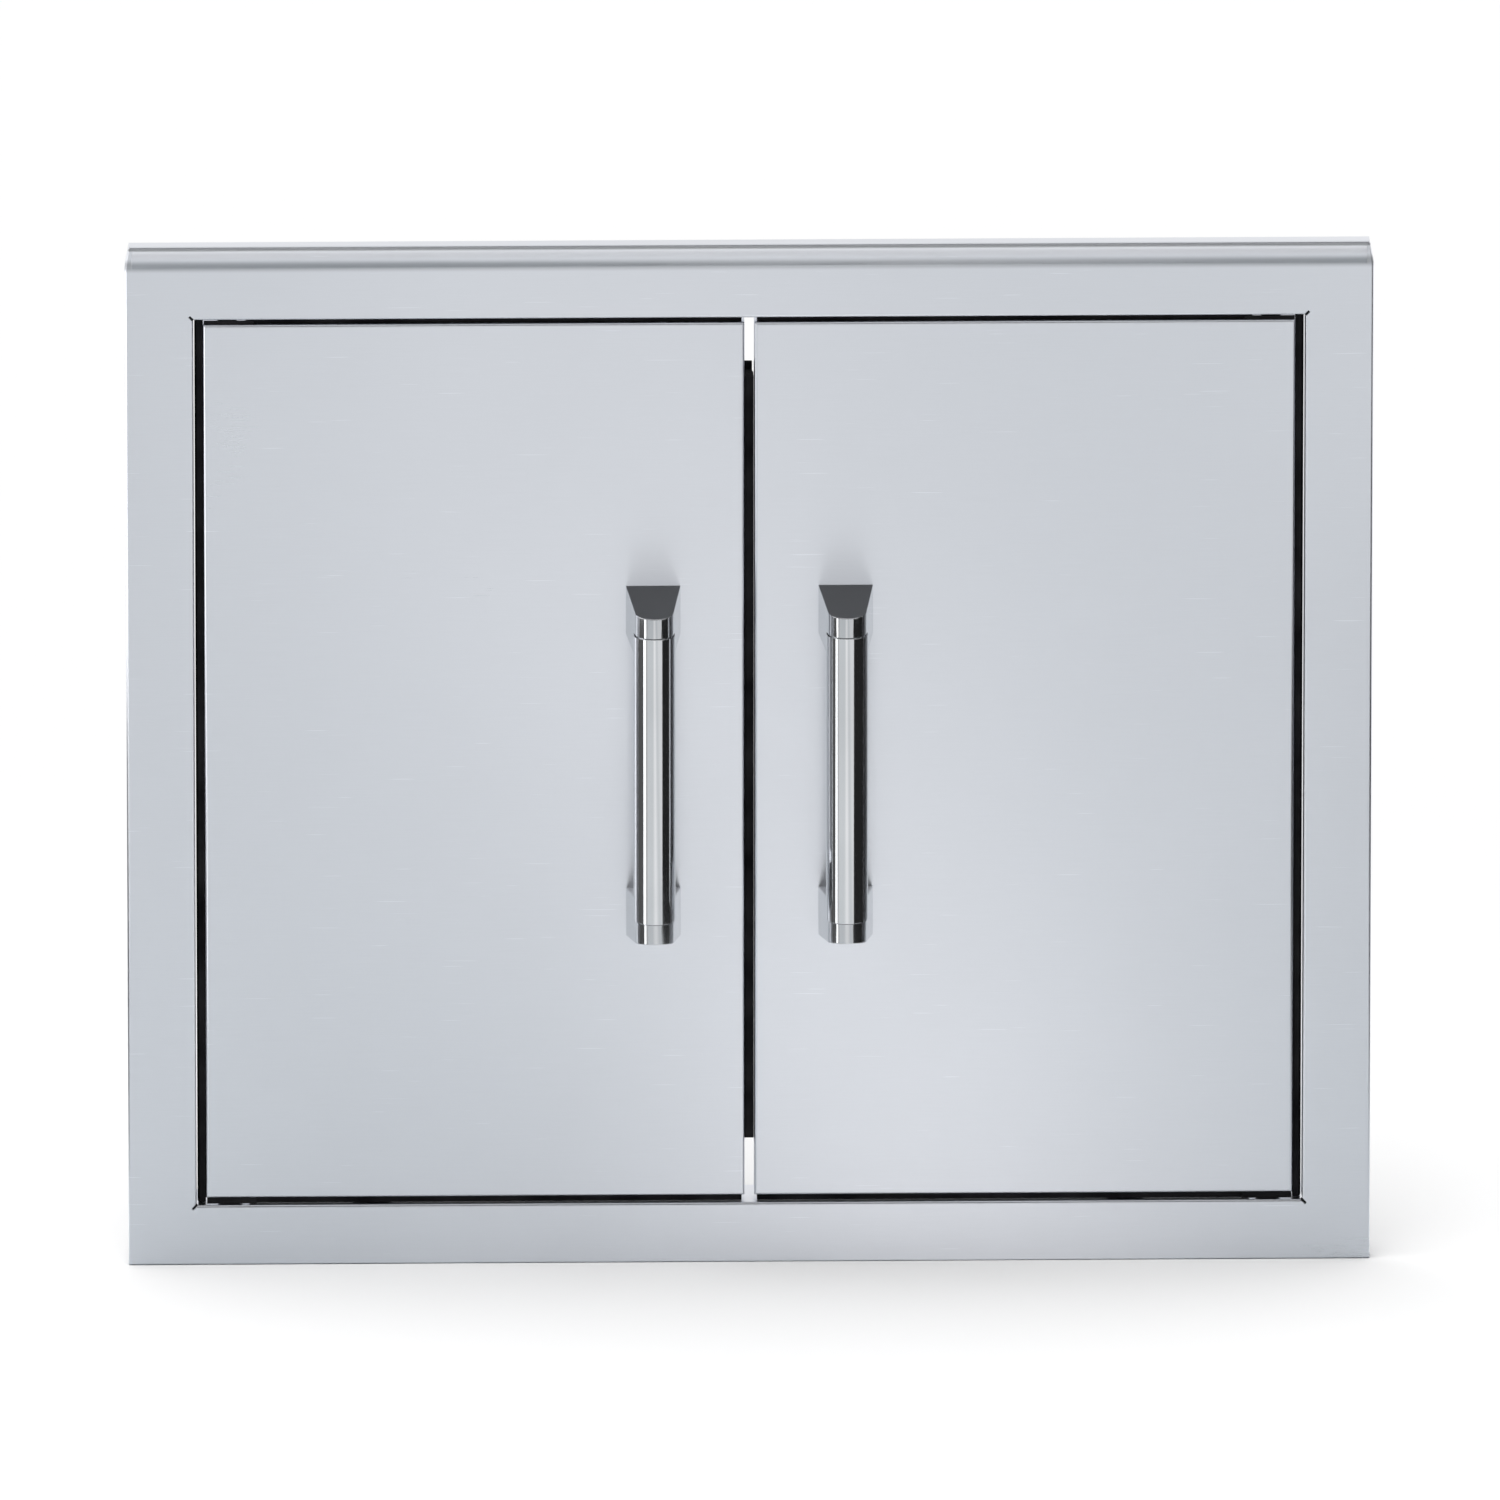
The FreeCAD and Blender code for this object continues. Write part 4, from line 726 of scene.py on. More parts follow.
# %% Turning
def turned(bm, section, centre, steps=64, closed=False):
    """Turns (radius, height) pairs in millimetres round an upright axis at centre."""
    new = [bm.verts.new((centre[0] + r * MM, centre[1], centre[2] + z * MM)) for r, z in section]
    pairs = list(zip(new, new[1:]))
    if closed:
        pairs.append((new[-1], new[0]))
    lines = [bm.edges.new(pair) for pair in pairs]
    bmesh.ops.spin(
        bm,
        geom=new + lines,
        cent=centre,
        axis=(0, 0, 1),
        angle=math.tau,
        steps=steps,
        use_merge=True,
    )


print("helper made: turned")

# %% [markdown]
# The bar is a plain tube, and all that shows of it is a mirror. Its section is a closed
# wall, spun round its axis, and the outer rims are eased as a cut tube's are. A cylinder
# with a Solidify modifier would do too, but the spun wall takes its rims along. Many steps
# keep the reflections from breaking into strips.

# %% Handle bars
BAR_WALL = 1.5
BAR_RIM = 0.1
BAR_STEPS = 144
for side, _ in SIDES:
    node = f"{side}_handle_bar"
    low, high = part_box(node)
    radius = (high.x - low.x) / 2 / MM
    half = (high.z - low.z) / 2 / MM
    wall = [
        (radius, half - BAR_RIM),
        (radius - BAR_RIM, half),
        (radius - BAR_WALL, half),
        (radius - BAR_WALL, -half),
        (radius - BAR_RIM, -half),
        (radius, BAR_RIM - half),
    ]
    bm = bmesh.new()
    turned(bm, wall, (low + high) / 2, steps=BAR_STEPS, closed=True)
    bar = finished(f"{side}_bar_tube", bm, f"{side}_door", polished_bar)
    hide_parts(node)
    print(f"{side} bar: {2 * radius:.1f} mm across, {2 * half:.1f} mm long")

# %% [markdown]
# The post is one casting. Seen from above it is a wedge: wide on the door, and running
# tangent into the round cap that closes the bar. From the side its crown and its belly
# slope to the bar. The plan will be drawn once and pulled up as a block, and planes and
# cutters take away what isn't post. `bisect_plane` slices along a plane, and a Boolean
# takes away the shape of another mesh, which is thrown away after.

# %% Slicing and cutting
def slice_off(bm, height, normal):
    """Cuts off what lies on the normal's side of a plane over the door's face."""
    cut = bmesh.ops.bisect_plane(
        bm,
        geom=[*bm.verts, *bm.edges, *bm.faces],
        dist=1e-7,
        plane_co=(0, 0, height * MM),
        plane_no=normal,
        clear_outer=True,
    )
    rim = [item for item in cut["geom_cut"] if isinstance(item, bmesh.types.BMEdge)]
    bmesh.ops.contextual_create(bm, geom=rim)


def cut_away(bm, *cutters):
    """The bmesh less each cutter, which are bmeshes too."""
    block = in_scene("block", bm)
    tools = [in_scene("cutter", cutter) for cutter in cutters]
    for tool in tools:
        cut = block.modifiers.new("cut", "BOOLEAN")
        cut.operation = "DIFFERENCE"
        cut.solver = "EXACT"
        cut.object = tool
    worked = bmesh.new()
    worked.from_object(block, bpy.context.evaluated_depsgraph_get())
    for thing in (block, *tools):
        bpy.data.objects.remove(thing)
    return worked


print("helpers made: slice_off, cut_away")

# %% [markdown]
# The plan's sides run from the post's corners on the door to the cap's circle and touch
# it, so the first point on the circle follows from a right-angled triangle, and an arc is
# spun from it to the other side. Two slices give the crown and the belly. A casting never
# has a knife edge, so every rim is rounded with `bevel`.

# %% The post's block
POST_HALF = 14.5
POST_TOP = 96.0
POST_FOOT = 26.4
POST_NECK = 24.0
POST_RIM = 0.4
CAP_RADIUS = 10.3
CAP_STEPS = 36
HANDLE_HALF = 89.0
AXIS_OUT = 34.6  # the bar's axis over the door's face
FRONT_OUT = 45.7
OVERSIZE = 5.0  # what the block has over its crown before the slice


def post_block():
    """The upper post, with the handle's middle at Z 0 and the door's face at Y 0."""
    away = math.hypot(POST_HALF, AXIS_OUT)
    turn = math.acos(CAP_RADIUS / away) - math.atan2(AXIS_OUT, POST_HALF)
    bm = bmesh.new()
    corner_left = bm.verts.new((-POST_HALF * MM, 0, 0))
    corner_right = bm.verts.new((POST_HALF * MM, 0, 0))
    touch = bm.verts.new(
        (CAP_RADIUS * math.cos(turn) * MM, -(AXIS_OUT + CAP_RADIUS * math.sin(turn)) * MM, 0)
    )
    arc = bmesh.ops.spin(
        bm,
        geom=[touch],
        cent=(0, -AXIS_OUT * MM, 0),
        axis=(0, 0, 1),
        angle=-(math.pi - 2 * turn),
        steps=CAP_STEPS,
    )
    last = next(item for item in arc["geom_last"] if isinstance(item, bmesh.types.BMVert))
    for pair in ((corner_right, touch), (last, corner_left), (corner_left, corner_right)):
        bm.edges.new(pair)
    plan = bmesh.ops.contextual_create(bm, geom=bm.edges[:])["faces"]
    pull_up(bm, plan, (POST_TOP + OVERSIZE) * MM)
    crown = (POST_TOP - HANDLE_HALF) / FRONT_OUT
    slice_off(bm, POST_TOP, (0, -crown, 1))
    belly = (POST_TOP - POST_FOOT - (HANDLE_HALF - POST_NECK)) / FRONT_OUT
    slice_off(bm, POST_TOP - POST_FOOT, (0, belly, -1))
    bmesh.ops.recalc_face_normals(bm, faces=bm.faces)
    rims = [edge for edge in bm.edges if edge.calc_face_angle(0) > math.radians(40)]
    bmesh.ops.bevel(
        bm,
        geom=rims,
        offset=POST_RIM * MM,
        offset_type="OFFSET",
        affect="EDGES",
        segments=3,
        profile=0.5,
        material=-1,
    )
    return bm


block = post_block()
print("post's block:", len(block.faces), "faces")

# %% [markdown]
# The bar's end stands in a round seat under the cap. Where the two meet, a thin groove
# runs round the cap, and it draws the dark seam that shows on the real handle. Both
# cutters are round: a cone with equal ends for the seat and a turned ring for the groove.

# %% Seat and seam
CAP_HIGH = 11.0
SEAM = HANDLE_HALF - CAP_HIGH
SEAT_RADIUS = 11.15
SEAT_FROM = 40.0
GROOVE_DEEP = 0.7
GROOVE_OUT = 11.2
GROOVE_BELOW = 0.2
GROOVE_HIGH = 0.45
ROUND_STEPS = 96
seat = bmesh.new()
bmesh.ops.create_cone(
    seat,
    cap_ends=True,
    segments=ROUND_STEPS,
    radius1=SEAT_RADIUS * MM,
    radius2=SEAT_RADIUS * MM,
    depth=(SEAM - SEAT_FROM) * MM,
    matrix=Matrix.Translation((0, 0, (SEAM + SEAT_FROM) / 2 * MM)),
)
groove = bmesh.new()
groove_section = [
    (CAP_RADIUS - GROOVE_DEEP, SEAM - GROOVE_BELOW),
    (GROOVE_OUT, SEAM - GROOVE_BELOW),
    (GROOVE_OUT, SEAM + GROOVE_HIGH),
    (CAP_RADIUS - GROOVE_DEEP, SEAM + GROOVE_HIGH),
]
turned(groove, groove_section, Vector((0, 0, 0)), steps=ROUND_STEPS, closed=True)
bmesh.ops.recalc_face_normals(groove, faces=groove.faces)
for cutter in (seat, groove):
    bmesh.ops.translate(cutter, verts=cutter.verts, vec=(0, -AXIS_OUT * MM, 0))
post = cut_away(block, seat, groove)
post_mesh = bpy.data.meshes.new("post_pattern")
post.to_mesh(post_mesh)
post.free()
print("post pattern:", len(post_mesh.polygons), "faces")

# %% [markdown]
# One pattern serves four times. The lower posts are its mirror image, which turns a mesh
# inside out, and `finished` turns the faces back.

# %% Four castings
def extent(piece):
    """The low and the high corner of a piece's mesh."""
    corners = list(zip(*piece.bound_box))
    return Vector([min(axis) for axis in corners]), Vector([max(axis) for axis in corners])


for side, _ in SIDES:
    for level, way in (("upper", 1), ("lower", -1)):
        node = f"{side}_{level}_handle_post"
        bar_low, bar_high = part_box(f"{side}_handle_bar")
        bm = bmesh.new()
        bm.from_mesh(post_mesh)
        bmesh.ops.scale(bm, vec=(1, 1, way), verts=bm.verts)
        at = ((bar_low.x + bar_high.x) / 2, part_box(node)[1].y, (bar_low.z + bar_high.z) / 2)
        bmesh.ops.translate(bm, vec=at, verts=bm.verts)
        casting = stand_in(node, "casting", bm, plated_post)
        keep_faces_flat(casting)
        apart = [(a - b).length / MM for a, b in zip(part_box(node), extent(casting))]
        print(node, "apart from its solid, mm:", [round(part, 3) for part in apart])

# %% [markdown]
# ## The hinges
# Each door turns on two upright pins. The lower one is fixed and headed, and its door
# stands on the flange of a nylon bush. The upper one is pushed up by a spring and drawn
# down by a finger tail, so that the door lifts off. The bushes are turned. The section is
# drawn for one that stands on its flange, and turned over for the lower bush, whose
# thicker flange carries the door.

# %% Bushes
BUSH_BORE = 3.05
BUSH_NECK = 4.5
BUSH_FLANGE = 6.5
UPPER_FLANGE = 1.5
LOWER_FLANGE = 3.9
EASE = 0.35


def middle(node):
    low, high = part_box(node)
    return (low + high) / 2


def bush_section(flange, tall):
    """The closed section of a bush that stands on its flange, its outer corners eased."""
    return [
        (BUSH_BORE, 0),
        (BUSH_FLANGE - EASE, 0),
        (BUSH_FLANGE, EASE),
        (BUSH_FLANGE, flange - EASE / 3),
        (BUSH_FLANGE - EASE / 3, flange),
        (BUSH_NECK, flange),
        (BUSH_NECK, tall - EASE),
        (BUSH_NECK - EASE, tall),
        (BUSH_BORE, tall),
    ]


pivots = {side: middle(f"{side}_lower_hinge_pin") for side, _ in SIDES}
for level in ("upper", "lower"):
    node = f"{level}_pivot_bushes"
    low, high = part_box(node)
    tall = (high.z - low.z) / MM
    if level == "upper":
        section, flange_z = bush_section(UPPER_FLANGE, tall), low.z
    else:
        standing = bush_section(LOWER_FLANGE, tall)
        section, flange_z = [(radius, -height) for radius, height in reversed(standing)], high.z
    bm = bmesh.new()
    for side, _ in SIDES:
        turned(bm, section, Vector((*pivots[side].xy, flange_z)), closed=True)
    bushes = stand_in(node, "turned", bm, nylon)
    print(node, len(bushes.data.polygons), "faces")

# %% [markdown]
# The lower pin is a headed rod, turned from one bar. Its point is broken, so that it finds
# the bush when the door is hung, and its head lies on the bracket.

# %% Lower pins
PIN = 3.0
PIN_POINT = 0.5
PIN_HEAD = 5.5
PIN_HEAD_HIGH = 2.5
for side, _ in SIDES:
    node = f"{side}_lower_hinge_pin"
    low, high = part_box(node)
    tall = (high.z - low.z) / MM
    rod = tall - PIN_HEAD_HIGH
    section = [
        (0, 0),
        (PIN - PIN_POINT, 0),
        (PIN, PIN_POINT),
        (PIN, rod),
        (PIN_HEAD - 0.2, rod),
        (PIN_HEAD, rod + 0.2),
        (PIN_HEAD, tall - 0.9),
        (PIN_HEAD - 0.8, tall - 0.2),
        (PIN_HEAD - 2.1, tall),
        (0, tall),
    ]
    bm = bmesh.new()
    turned(bm, section, Vector((*pivots[side].xy, low.z)))
    pin = stand_in(node, "turned", bm, plain_steel)
    print(pin.name, f"{tall:.1f} mm tall")

# %% [markdown]
# The upper pin is a turned rod with a clip groove. Its finger tail is a flat tongue that
# reaches back through the slot in the inner panel. Rod and tongue are pressed together, so
# they are two shapes in one piece: a spun section, and a cube that is scaled to the
# tongue's box and has its upright edges rounded with `bevel`.

# %% Sprung upper pins
TAIL_HALF = 4.0
TAIL_THICK = 3.0
TAIL_CORNER = 2.2
CLIP_GROOVE = 0.6
for side, _ in SIDES:
    node = f"{side}_upper_hinge_pin"
    low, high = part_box(node)
    foot = low.z + TAIL_THICK * MM
    groove_low, groove_high = ((corner.z - foot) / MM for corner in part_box(f"{side}_hinge_clip"))
    tall = (high.z - foot) / MM
    section = [
        (0, 0),
        (PIN, 0),
        (PIN, groove_low),
        (PIN - CLIP_GROOVE, groove_low),
        (PIN - CLIP_GROOVE, groove_high),
        (PIN, groove_high),
        (PIN, tall - 1.0),
        (PIN - 0.3, tall - 0.4),
        (PIN - 0.9, tall),
        (0, tall),
    ]
    bm = bmesh.new()
    turned(bm, section, Vector((*pivots[side].xy, foot)))
    tongue = bmesh.ops.create_cube(bm, size=1.0)["verts"]
    size = (2 * TAIL_HALF * MM, high.y - low.y, TAIL_THICK * MM)
    bmesh.ops.scale(bm, vec=size, verts=tongue)
    at = (pivots[side].x, (low.y + high.y) / 2, foot - size[2] / 2)
    bmesh.ops.translate(bm, vec=at, verts=tongue)
    upright = {
        edge
        for vert in tongue
        for edge in vert.link_edges
        if abs(edge.verts[0].co.z - edge.verts[1].co.z) > size[2] / 2
    }
    bmesh.ops.bevel(
        bm,
        geom=list(upright),
        offset=TAIL_CORNER * MM,
        offset_type="OFFSET",
        affect="EDGES",
        segments=6,
        profile=0.5,
        material=-1,
    )
    pin = stand_in(node, "with_tail", bm, plain_steel)
    print(pin.name, f"{tall:.1f} mm of rod above the tail")

# %% [markdown]
# A wound spring is a circle carried round an axis while it climbs, and `spin` does just
# that when it gets a step of its own for each turn. Real compression springs close their
# end coils, so the wire climbs by its own thickness there and faster between. The spring
# rides on the door.

# %% Hinge springs
WIRE = 0.5
WIRE_SIDES = 12
COIL_STEPS = 28
COILS = 6
CLOSED_COILS = 0.75
CLOSED_CLIMB = 1.02 * 2 * WIRE * CLOSED_COILS
for side, _ in SIDES:
    node = f"{side}_hinge_spring"
    low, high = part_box(node)
    x, y = pivots[side].xy
    length = (high.z - low.z) / MM
    mean = (high.x - low.x) / 2 / MM - WIRE
    open_climb = length - 2 * WIRE - 2 * CLOSED_CLIMB
    bm = bmesh.new()
    start = bmesh.ops.create_circle(
        bm, cap_ends=False, segments=WIRE_SIDES, radius=WIRE * MM
    )["verts"]
    on_edge = Matrix.Rotation(math.pi / 2, 3, "X")
    bmesh.ops.rotate(bm, verts=start, cent=(0, 0, 0), matrix=on_edge)
    bmesh.ops.translate(bm, verts=start, vec=(x + mean * MM, y, low.z + WIRE * MM))
    caps = [bm.edges[:]]
    wire_end = [*start, *caps[0]]
    for coils, climb in (
        (CLOSED_COILS, CLOSED_CLIMB),
        (COILS - 2 * CLOSED_COILS, open_climb),
        (CLOSED_COILS, CLOSED_CLIMB),
    ):
        steps = round(coils * COIL_STEPS)
        wire_end = bmesh.ops.spin(
            bm,
            geom=wire_end,
            cent=(x, y, 0),
            axis=(0, 0, 1),
            dvec=(0, 0, climb * MM / steps),
            angle=coils * math.tau,
            steps=steps,
        )["geom_last"]
    caps.append([item for item in wire_end if isinstance(item, bmesh.types.BMEdge)])
    for rim in caps:
        bmesh.ops.contextual_create(bm, geom=rim)
    spring = stand_in(node, "wound", bm, spring_steel, crisp=50)
    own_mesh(spring)
    print(f"{side} spring: {length:.1f} mm, {mean:.2f} mm mean radius")

# %% [markdown]
# ## Small screws
# Four pan-head screws hold the two magnetic catches up under the sleeve. Head and shank are
# turned in one, and the cross in the head is cut by two thin blades.

# %% Catch screws
HEAD = 2.8
HEAD_HIGH = 1.9
SHANK = 1.5
FROM_END = 4.0
CROSS_LONG = 2.9
CROSS_THIN = 0.6
CROSS_HIGH = 2.2
node = "catch_screws"
low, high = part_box(node)
tall = (high.z - low.z) / MM
section = [
    (0, 0),
    (1.4, 0.05),
    (2.3, 0.45),
    (HEAD, 1.1),
    (HEAD, HEAD_HIGH),
    (SHANK, HEAD_HIGH),
    (SHANK, tall - 1.2),
    (0.3, tall),
    (0, tall),
]
spots = []
for side, _ in SIDES:
    box_low, box_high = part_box(f"{side}_catch_housing")
    for end, inwards in ((box_low, 1), (box_high, -1)):
        at = (end.x + inwards * FROM_END * MM, (box_low.y + box_high.y) / 2, low.z)
        spots.append(Vector(at))
bm = bmesh.new()
for spot in spots:
    turned(bm, section, spot, steps=32)
bmesh.ops.remove_doubles(bm, verts=bm.verts, dist=SAME_POINT)
bmesh.ops.recalc_face_normals(bm, faces=bm.faces)
blades = []
for spot in spots:
    for size in ((CROSS_LONG, CROSS_THIN, CROSS_HIGH), (CROSS_THIN, CROSS_LONG, CROSS_HIGH)):
        blade = bmesh.new()
        bmesh.ops.create_cube(blade, size=1.0)
        bmesh.ops.scale(blade, vec=[part * MM for part in size], verts=blade.verts)
        bmesh.ops.translate(blade, vec=spot, verts=blade.verts)
        blades.append(blade)
bm = cut_away(bm, *blades)
screws = stand_in(node, "cross_head", bm, plain_steel, crisp=35)
print("catch screws:", len(spots), "with", len(screws.data.polygons), "faces")

# %% [markdown]
# ## Spot welds
# Sheet pieces are welded where they lie on one another, and each weld leaves a dimple. A
# mark is a shallow disc, laid a few hundredths of a millimetre proud of the sheet so that
# it shows, with its rim on the sheet. Its map, from -1 to 1, tells the finish how far out
# a point lies.

# %% A weld's mark
WELD_RADIUS = 2.6
WELD_RIM = 0.9
WELD_PROUD = 0.04
WELD_SIDES = 20


def weld_marks(name, body, centres, normal):
    """Discs at centres in metres, facing along the normal, as one piece."""
    bm = bmesh.new()
    disc_layer = bm.loops.layers.uv.new("disc")
    facing = Vector(normal).to_track_quat("Z", "Y").to_matrix().to_4x4()
    for centre in centres:
        made = bmesh.ops.create_circle(
            bm, cap_ends=True, segments=WELD_SIDES, radius=WELD_RADIUS * MM
        )
        face = made["verts"][0].link_faces[0]
        inner = bmesh.ops.inset_individual(bm, faces=[face], thickness=WELD_RIM * MM)
        for part in {f for v in made["verts"] for f in v.link_faces} | {face}:
            for loop in part.loops:
                loop[disc_layer].uv = loop.vert.co.xy / (WELD_RADIUS * MM)
        raised = list(face.verts)
        bmesh.ops.translate(bm, verts=raised, vec=(0, 0, WELD_PROUD * MM))
        whole = list({vert for f in inner["faces"] for vert in f.verts} | set(raised))
        bmesh.ops.transform(bm, matrix=Matrix.Translation(centre) @ facing, verts=whole)
    for face in bm.faces:
        face.smooth = True
    marks = in_scene(name, bm)
    marks.data.materials.append(weld_mark)
    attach(marks, body)
    print(marks.name, len(centres))


# %% [markdown]
# A liner is welded all round to the pan's inturned flanges. The pitch is even, so the
# centres are spaced out between the corners, and the corners aren't taken twice.

# %% Welds round the liners
WELD_MARGIN = 6.0
HINGE_MARGIN = 3.4
WELDS_ACROSS = 6
WELDS_UP = 9


def evenly(start, end, count):
    return [start + (end - start) * step / (count - 1) for step in range(count)]


margin = WELD_MARGIN * MM
for side, sign in SIDES:
    low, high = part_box(f"{side}_door_liner")
    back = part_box(f"{side}_door_skin")[1].y
    inner, outer = sorted((abs(low.x), abs(high.x)))
    ends = (sign * (inner + margin), sign * (outer - HINGE_MARGIN * MM))
    levels = (low.z + margin, high.z - margin)
    centres = [(x, back, z) for z in levels for x in evenly(*ends, WELDS_ACROSS)]
    centres += [(x, back, z) for x in ends for z in evenly(*levels, WELDS_UP)[1:-1]]
    weld_marks(f"{side}_liner_welds", f"{side}_door", centres, (0, 1, 0))

# %% [markdown]
# The pivot plates, the stop brackets and the strike plates are small, and two welds hold
# each of them: behind the plate's bush, on the bracket's foot and at the strike's ends.

# %% Welds on plates, stops and strikes
BESIDE_PIVOT = 7.0
STOP_SHEET = 1.5
for level, way in (("upper", 1), ("lower", -1)):
    low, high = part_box(f"{level}_pivot_plates")
    z = high.z if way > 0 else low.z
    centres = [
        (pivots[side].x + beside * MM, high.y - margin, z)
        for side, _ in SIDES
        for beside in (-BESIDE_PIVOT, BESIDE_PIVOT)
    ]
    weld_marks(f"{level}_plate_welds", "frame", centres, (0, 0, way))
for side, _ in SIDES:
    low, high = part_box(f"{side}_stop_bracket")
    sheet = STOP_SHEET * MM
    y = (low.y + sheet + high.y) / 2
    centres = [(x, y, low.z + sheet) for x in (low.x + margin, high.x - margin)]
    weld_marks(f"{side}_stop_welds", "frame", centres, (0, 0, 1))
    low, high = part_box(f"{side}_strike_plate")
    centres = [(x, high.y, (low.z + high.z) / 2) for x in (low.x + margin, high.x - margin)]
    weld_marks(f"{side}_strike_welds", f"{side}_door", centres, (0, 1, 0))

# %% [markdown]
# ## The stage
# The door stands on a white floor, as for a catalogue: one wide plane at the height of the
# frame's lower edge. Near the door it is pale paint, which takes its light from the lamp
# and keeps the door's shadow. Its finish works from two things: X and Y on the floor, and
# how far a point is from the door.

# %% Floor
FLOOR_HALF = 9.0  # metres
floor_z = cad_low.z
bm = bmesh.new()
bmesh.ops.create_grid(bm, x_segments=1, y_segments=1, size=FLOOR_HALF)
bmesh.ops.translate(bm, verts=bm.verts, vec=(0, 0, floor_z))
floor = in_scene("floor", bm)
floor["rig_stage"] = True
floor_finish, tree, shader = new_material(
    "pale_floor", Roughness=0.9, Specular_IOR_Level=0.1, Emission_Strength=1.0
)
floor.data.materials.append(floor_finish)
axes = object_axes(tree)
on_floor = tree.nodes.new("ShaderNodeCombineXYZ")
tree.links.new(axes["X"], on_floor.inputs["X"])
tree.links.new(axes["Y"], on_floor.inputs["Y"])
reach = tree.nodes.new("ShaderNodeVectorMath")
reach.operation = "LENGTH"
tree.links.new(on_floor.outputs[0], reach.inputs[0])
away = reach.outputs["Value"]
print("floor at", round(floor_z / MM, 1), "mm")

# %% [markdown]
# Further out the paint passes into a plain white, so that no edge of the floor shows. Only
# the camera and mirror-like faces see the white, which the Light Path node can tell, and
# so it puts no more light on the steel.

# %% White far off
WHITE_OUT = (0.35, 1.1, 0.0, 1.0)  # from and to in metres, and the values there
rays = tree.nodes.new("ShaderNodeLightPath").outputs
seen = maths(tree, "ADD", rays["Is Camera Ray"], rays["Is Glossy Ray"])
seen = maths(tree, "MINIMUM", maths(tree, "ADD", seen, rays["Is Transmission Ray"]), 1.0)
white = maths(tree, "MULTIPLY", mapped(tree, away, *WHITE_OUT), seen)
print("white from", WHITE_OUT[1], "m on")

# %% [markdown]
# Steel shows what surrounds it more than itself, and the flat faces mirror the floor in
# front. There, and only in reflections, the floor holds a painted pool of light: a soft white
# band lies slantwise over painted shade, which is darker and a little bluer. It gives the doors
# the slow change of tone that real sheet has. Lamps could do it too, but a band in the floor
# leaves the light on the door alone. The shade is a product of soft steps, over the distance
# from the band's middle and over the distance from the door.

# %% A band for the steel to mirror
WHITE = (0.99, 0.99, 0.99)
BAND_SIDE_SHADE = (0.60, 0.63, 0.645)
PAINT = 0.86
BAND_LEAN = -0.138
BAND_PLACE = 0.142
BAND_EDGE = (0.0, 0.25, 0.0, 1.0)
RIGHT_FADE = (0.28, 0.48, 1.0, 0.55)
FAR_RISE = (0.6, 2.2, 0.6, 1.0)
NEAR_RISE = (0.08, 0.3, 0.0, 0.3)
NEAR_FADE = (0.6, 1.1, 1.0, 0.0)
across = maths(tree, "MULTIPLY_ADD", axes["Y"], BAND_LEAN, axes["X"])
across = maths(tree, "SUBTRACT", across, BAND_PLACE)
shade = mapped(tree, maths(tree, "ABSOLUTE", across), *BAND_EDGE)
shade = maths(tree, "MULTIPLY", shade, mapped(tree, across, *RIGHT_FADE))
shade = maths(tree, "MULTIPLY", shade, mapped(tree, away, *FAR_RISE))
near = mapped(tree, away, *NEAR_RISE)
near = maths(tree, "MULTIPLY", near, mapped(tree, away, *NEAR_FADE))
in_front = maths(tree, "LESS_THAN", axes["Y"], 0.0)
mirrored = maths(tree, "MULTIPLY", rays["Is Glossy Ray"], in_front)
shade = maths(tree, "MULTIPLY", maths(tree, "ADD", shade, near), mirrored)

# painted light and shade in the floor, for reflections only: the band's white and the darker shade
# beside it, in both the glow and the paint
glow = mix_colours(tree, shade, WHITE, BAND_SIDE_SHADE)
paint = mix_colours(tree, shade, (PAINT, PAINT, PAINT), [PAINT * part for part in BAND_SIDE_SHADE])
tree.links.new(mix_colours(tree, white, (0, 0, 0), glow), shader.inputs["Emission Color"])
tree.links.new(mix_colours(tree, white, paint, (0, 0, 0)), shader.inputs["Base Color"])
print("floor's finish:", len(tree.nodes), "nodes")

# %% [markdown]
# The world is a studio. Behind the door it is white, so that daylight shows through the
# centre gap. In front, pale walls reach a little over eye height, a dark belt follows, and
# the ceiling is pale again. The posts' crowns mirror the belt by way of the door's face
# and turn dark, as on the real handle. One colour ramp over the direction's height is all
# it takes.

# %% World
BELT = ((0.13, 1.0), (0.28, 0.02), (0.70, 0.02), (1.0, 1.0))
BACKDROP = (0.95, 0.95, 0.95)
BACKDROP_FROM = (-0.05, 0.2, 0.0, 1.0)
world = bpy.data.worlds.new("studio")
bpy.context.scene.world = world
world.use_nodes = True
sky = world.node_tree
direction = sky.nodes.new("ShaderNodeTexCoord")
upright = sky.nodes.new("ShaderNodeSeparateXYZ")
sky.links.new(direction.outputs["Generated"], upright.inputs[0])
heights = sky.nodes.new("ShaderNodeValToRGB")
heights.color_ramp.interpolation = "EASE"
fill_ramp(heights, [(height, (tone, tone, tone)) for height, tone in BELT])
sky.links.new(upright.outputs["Z"], heights.inputs["Fac"])
behind = mapped(sky, upright.outputs["Y"], *BACKDROP_FROM)
walls = mix_colours(sky, behind, heights.outputs["Color"], BACKDROP)
sky.links.new(walls, sky.nodes["Background"].inputs["Color"])
print("world:", len(BELT), "heights in front, and a white backdrop")

# %% [markdown]
# One wide lamp overhead lights the door and the floor evenly and leaves a soft shadow on
# the floor. It is kept out of reflections, because bright metal would show it as a hard
# white square.

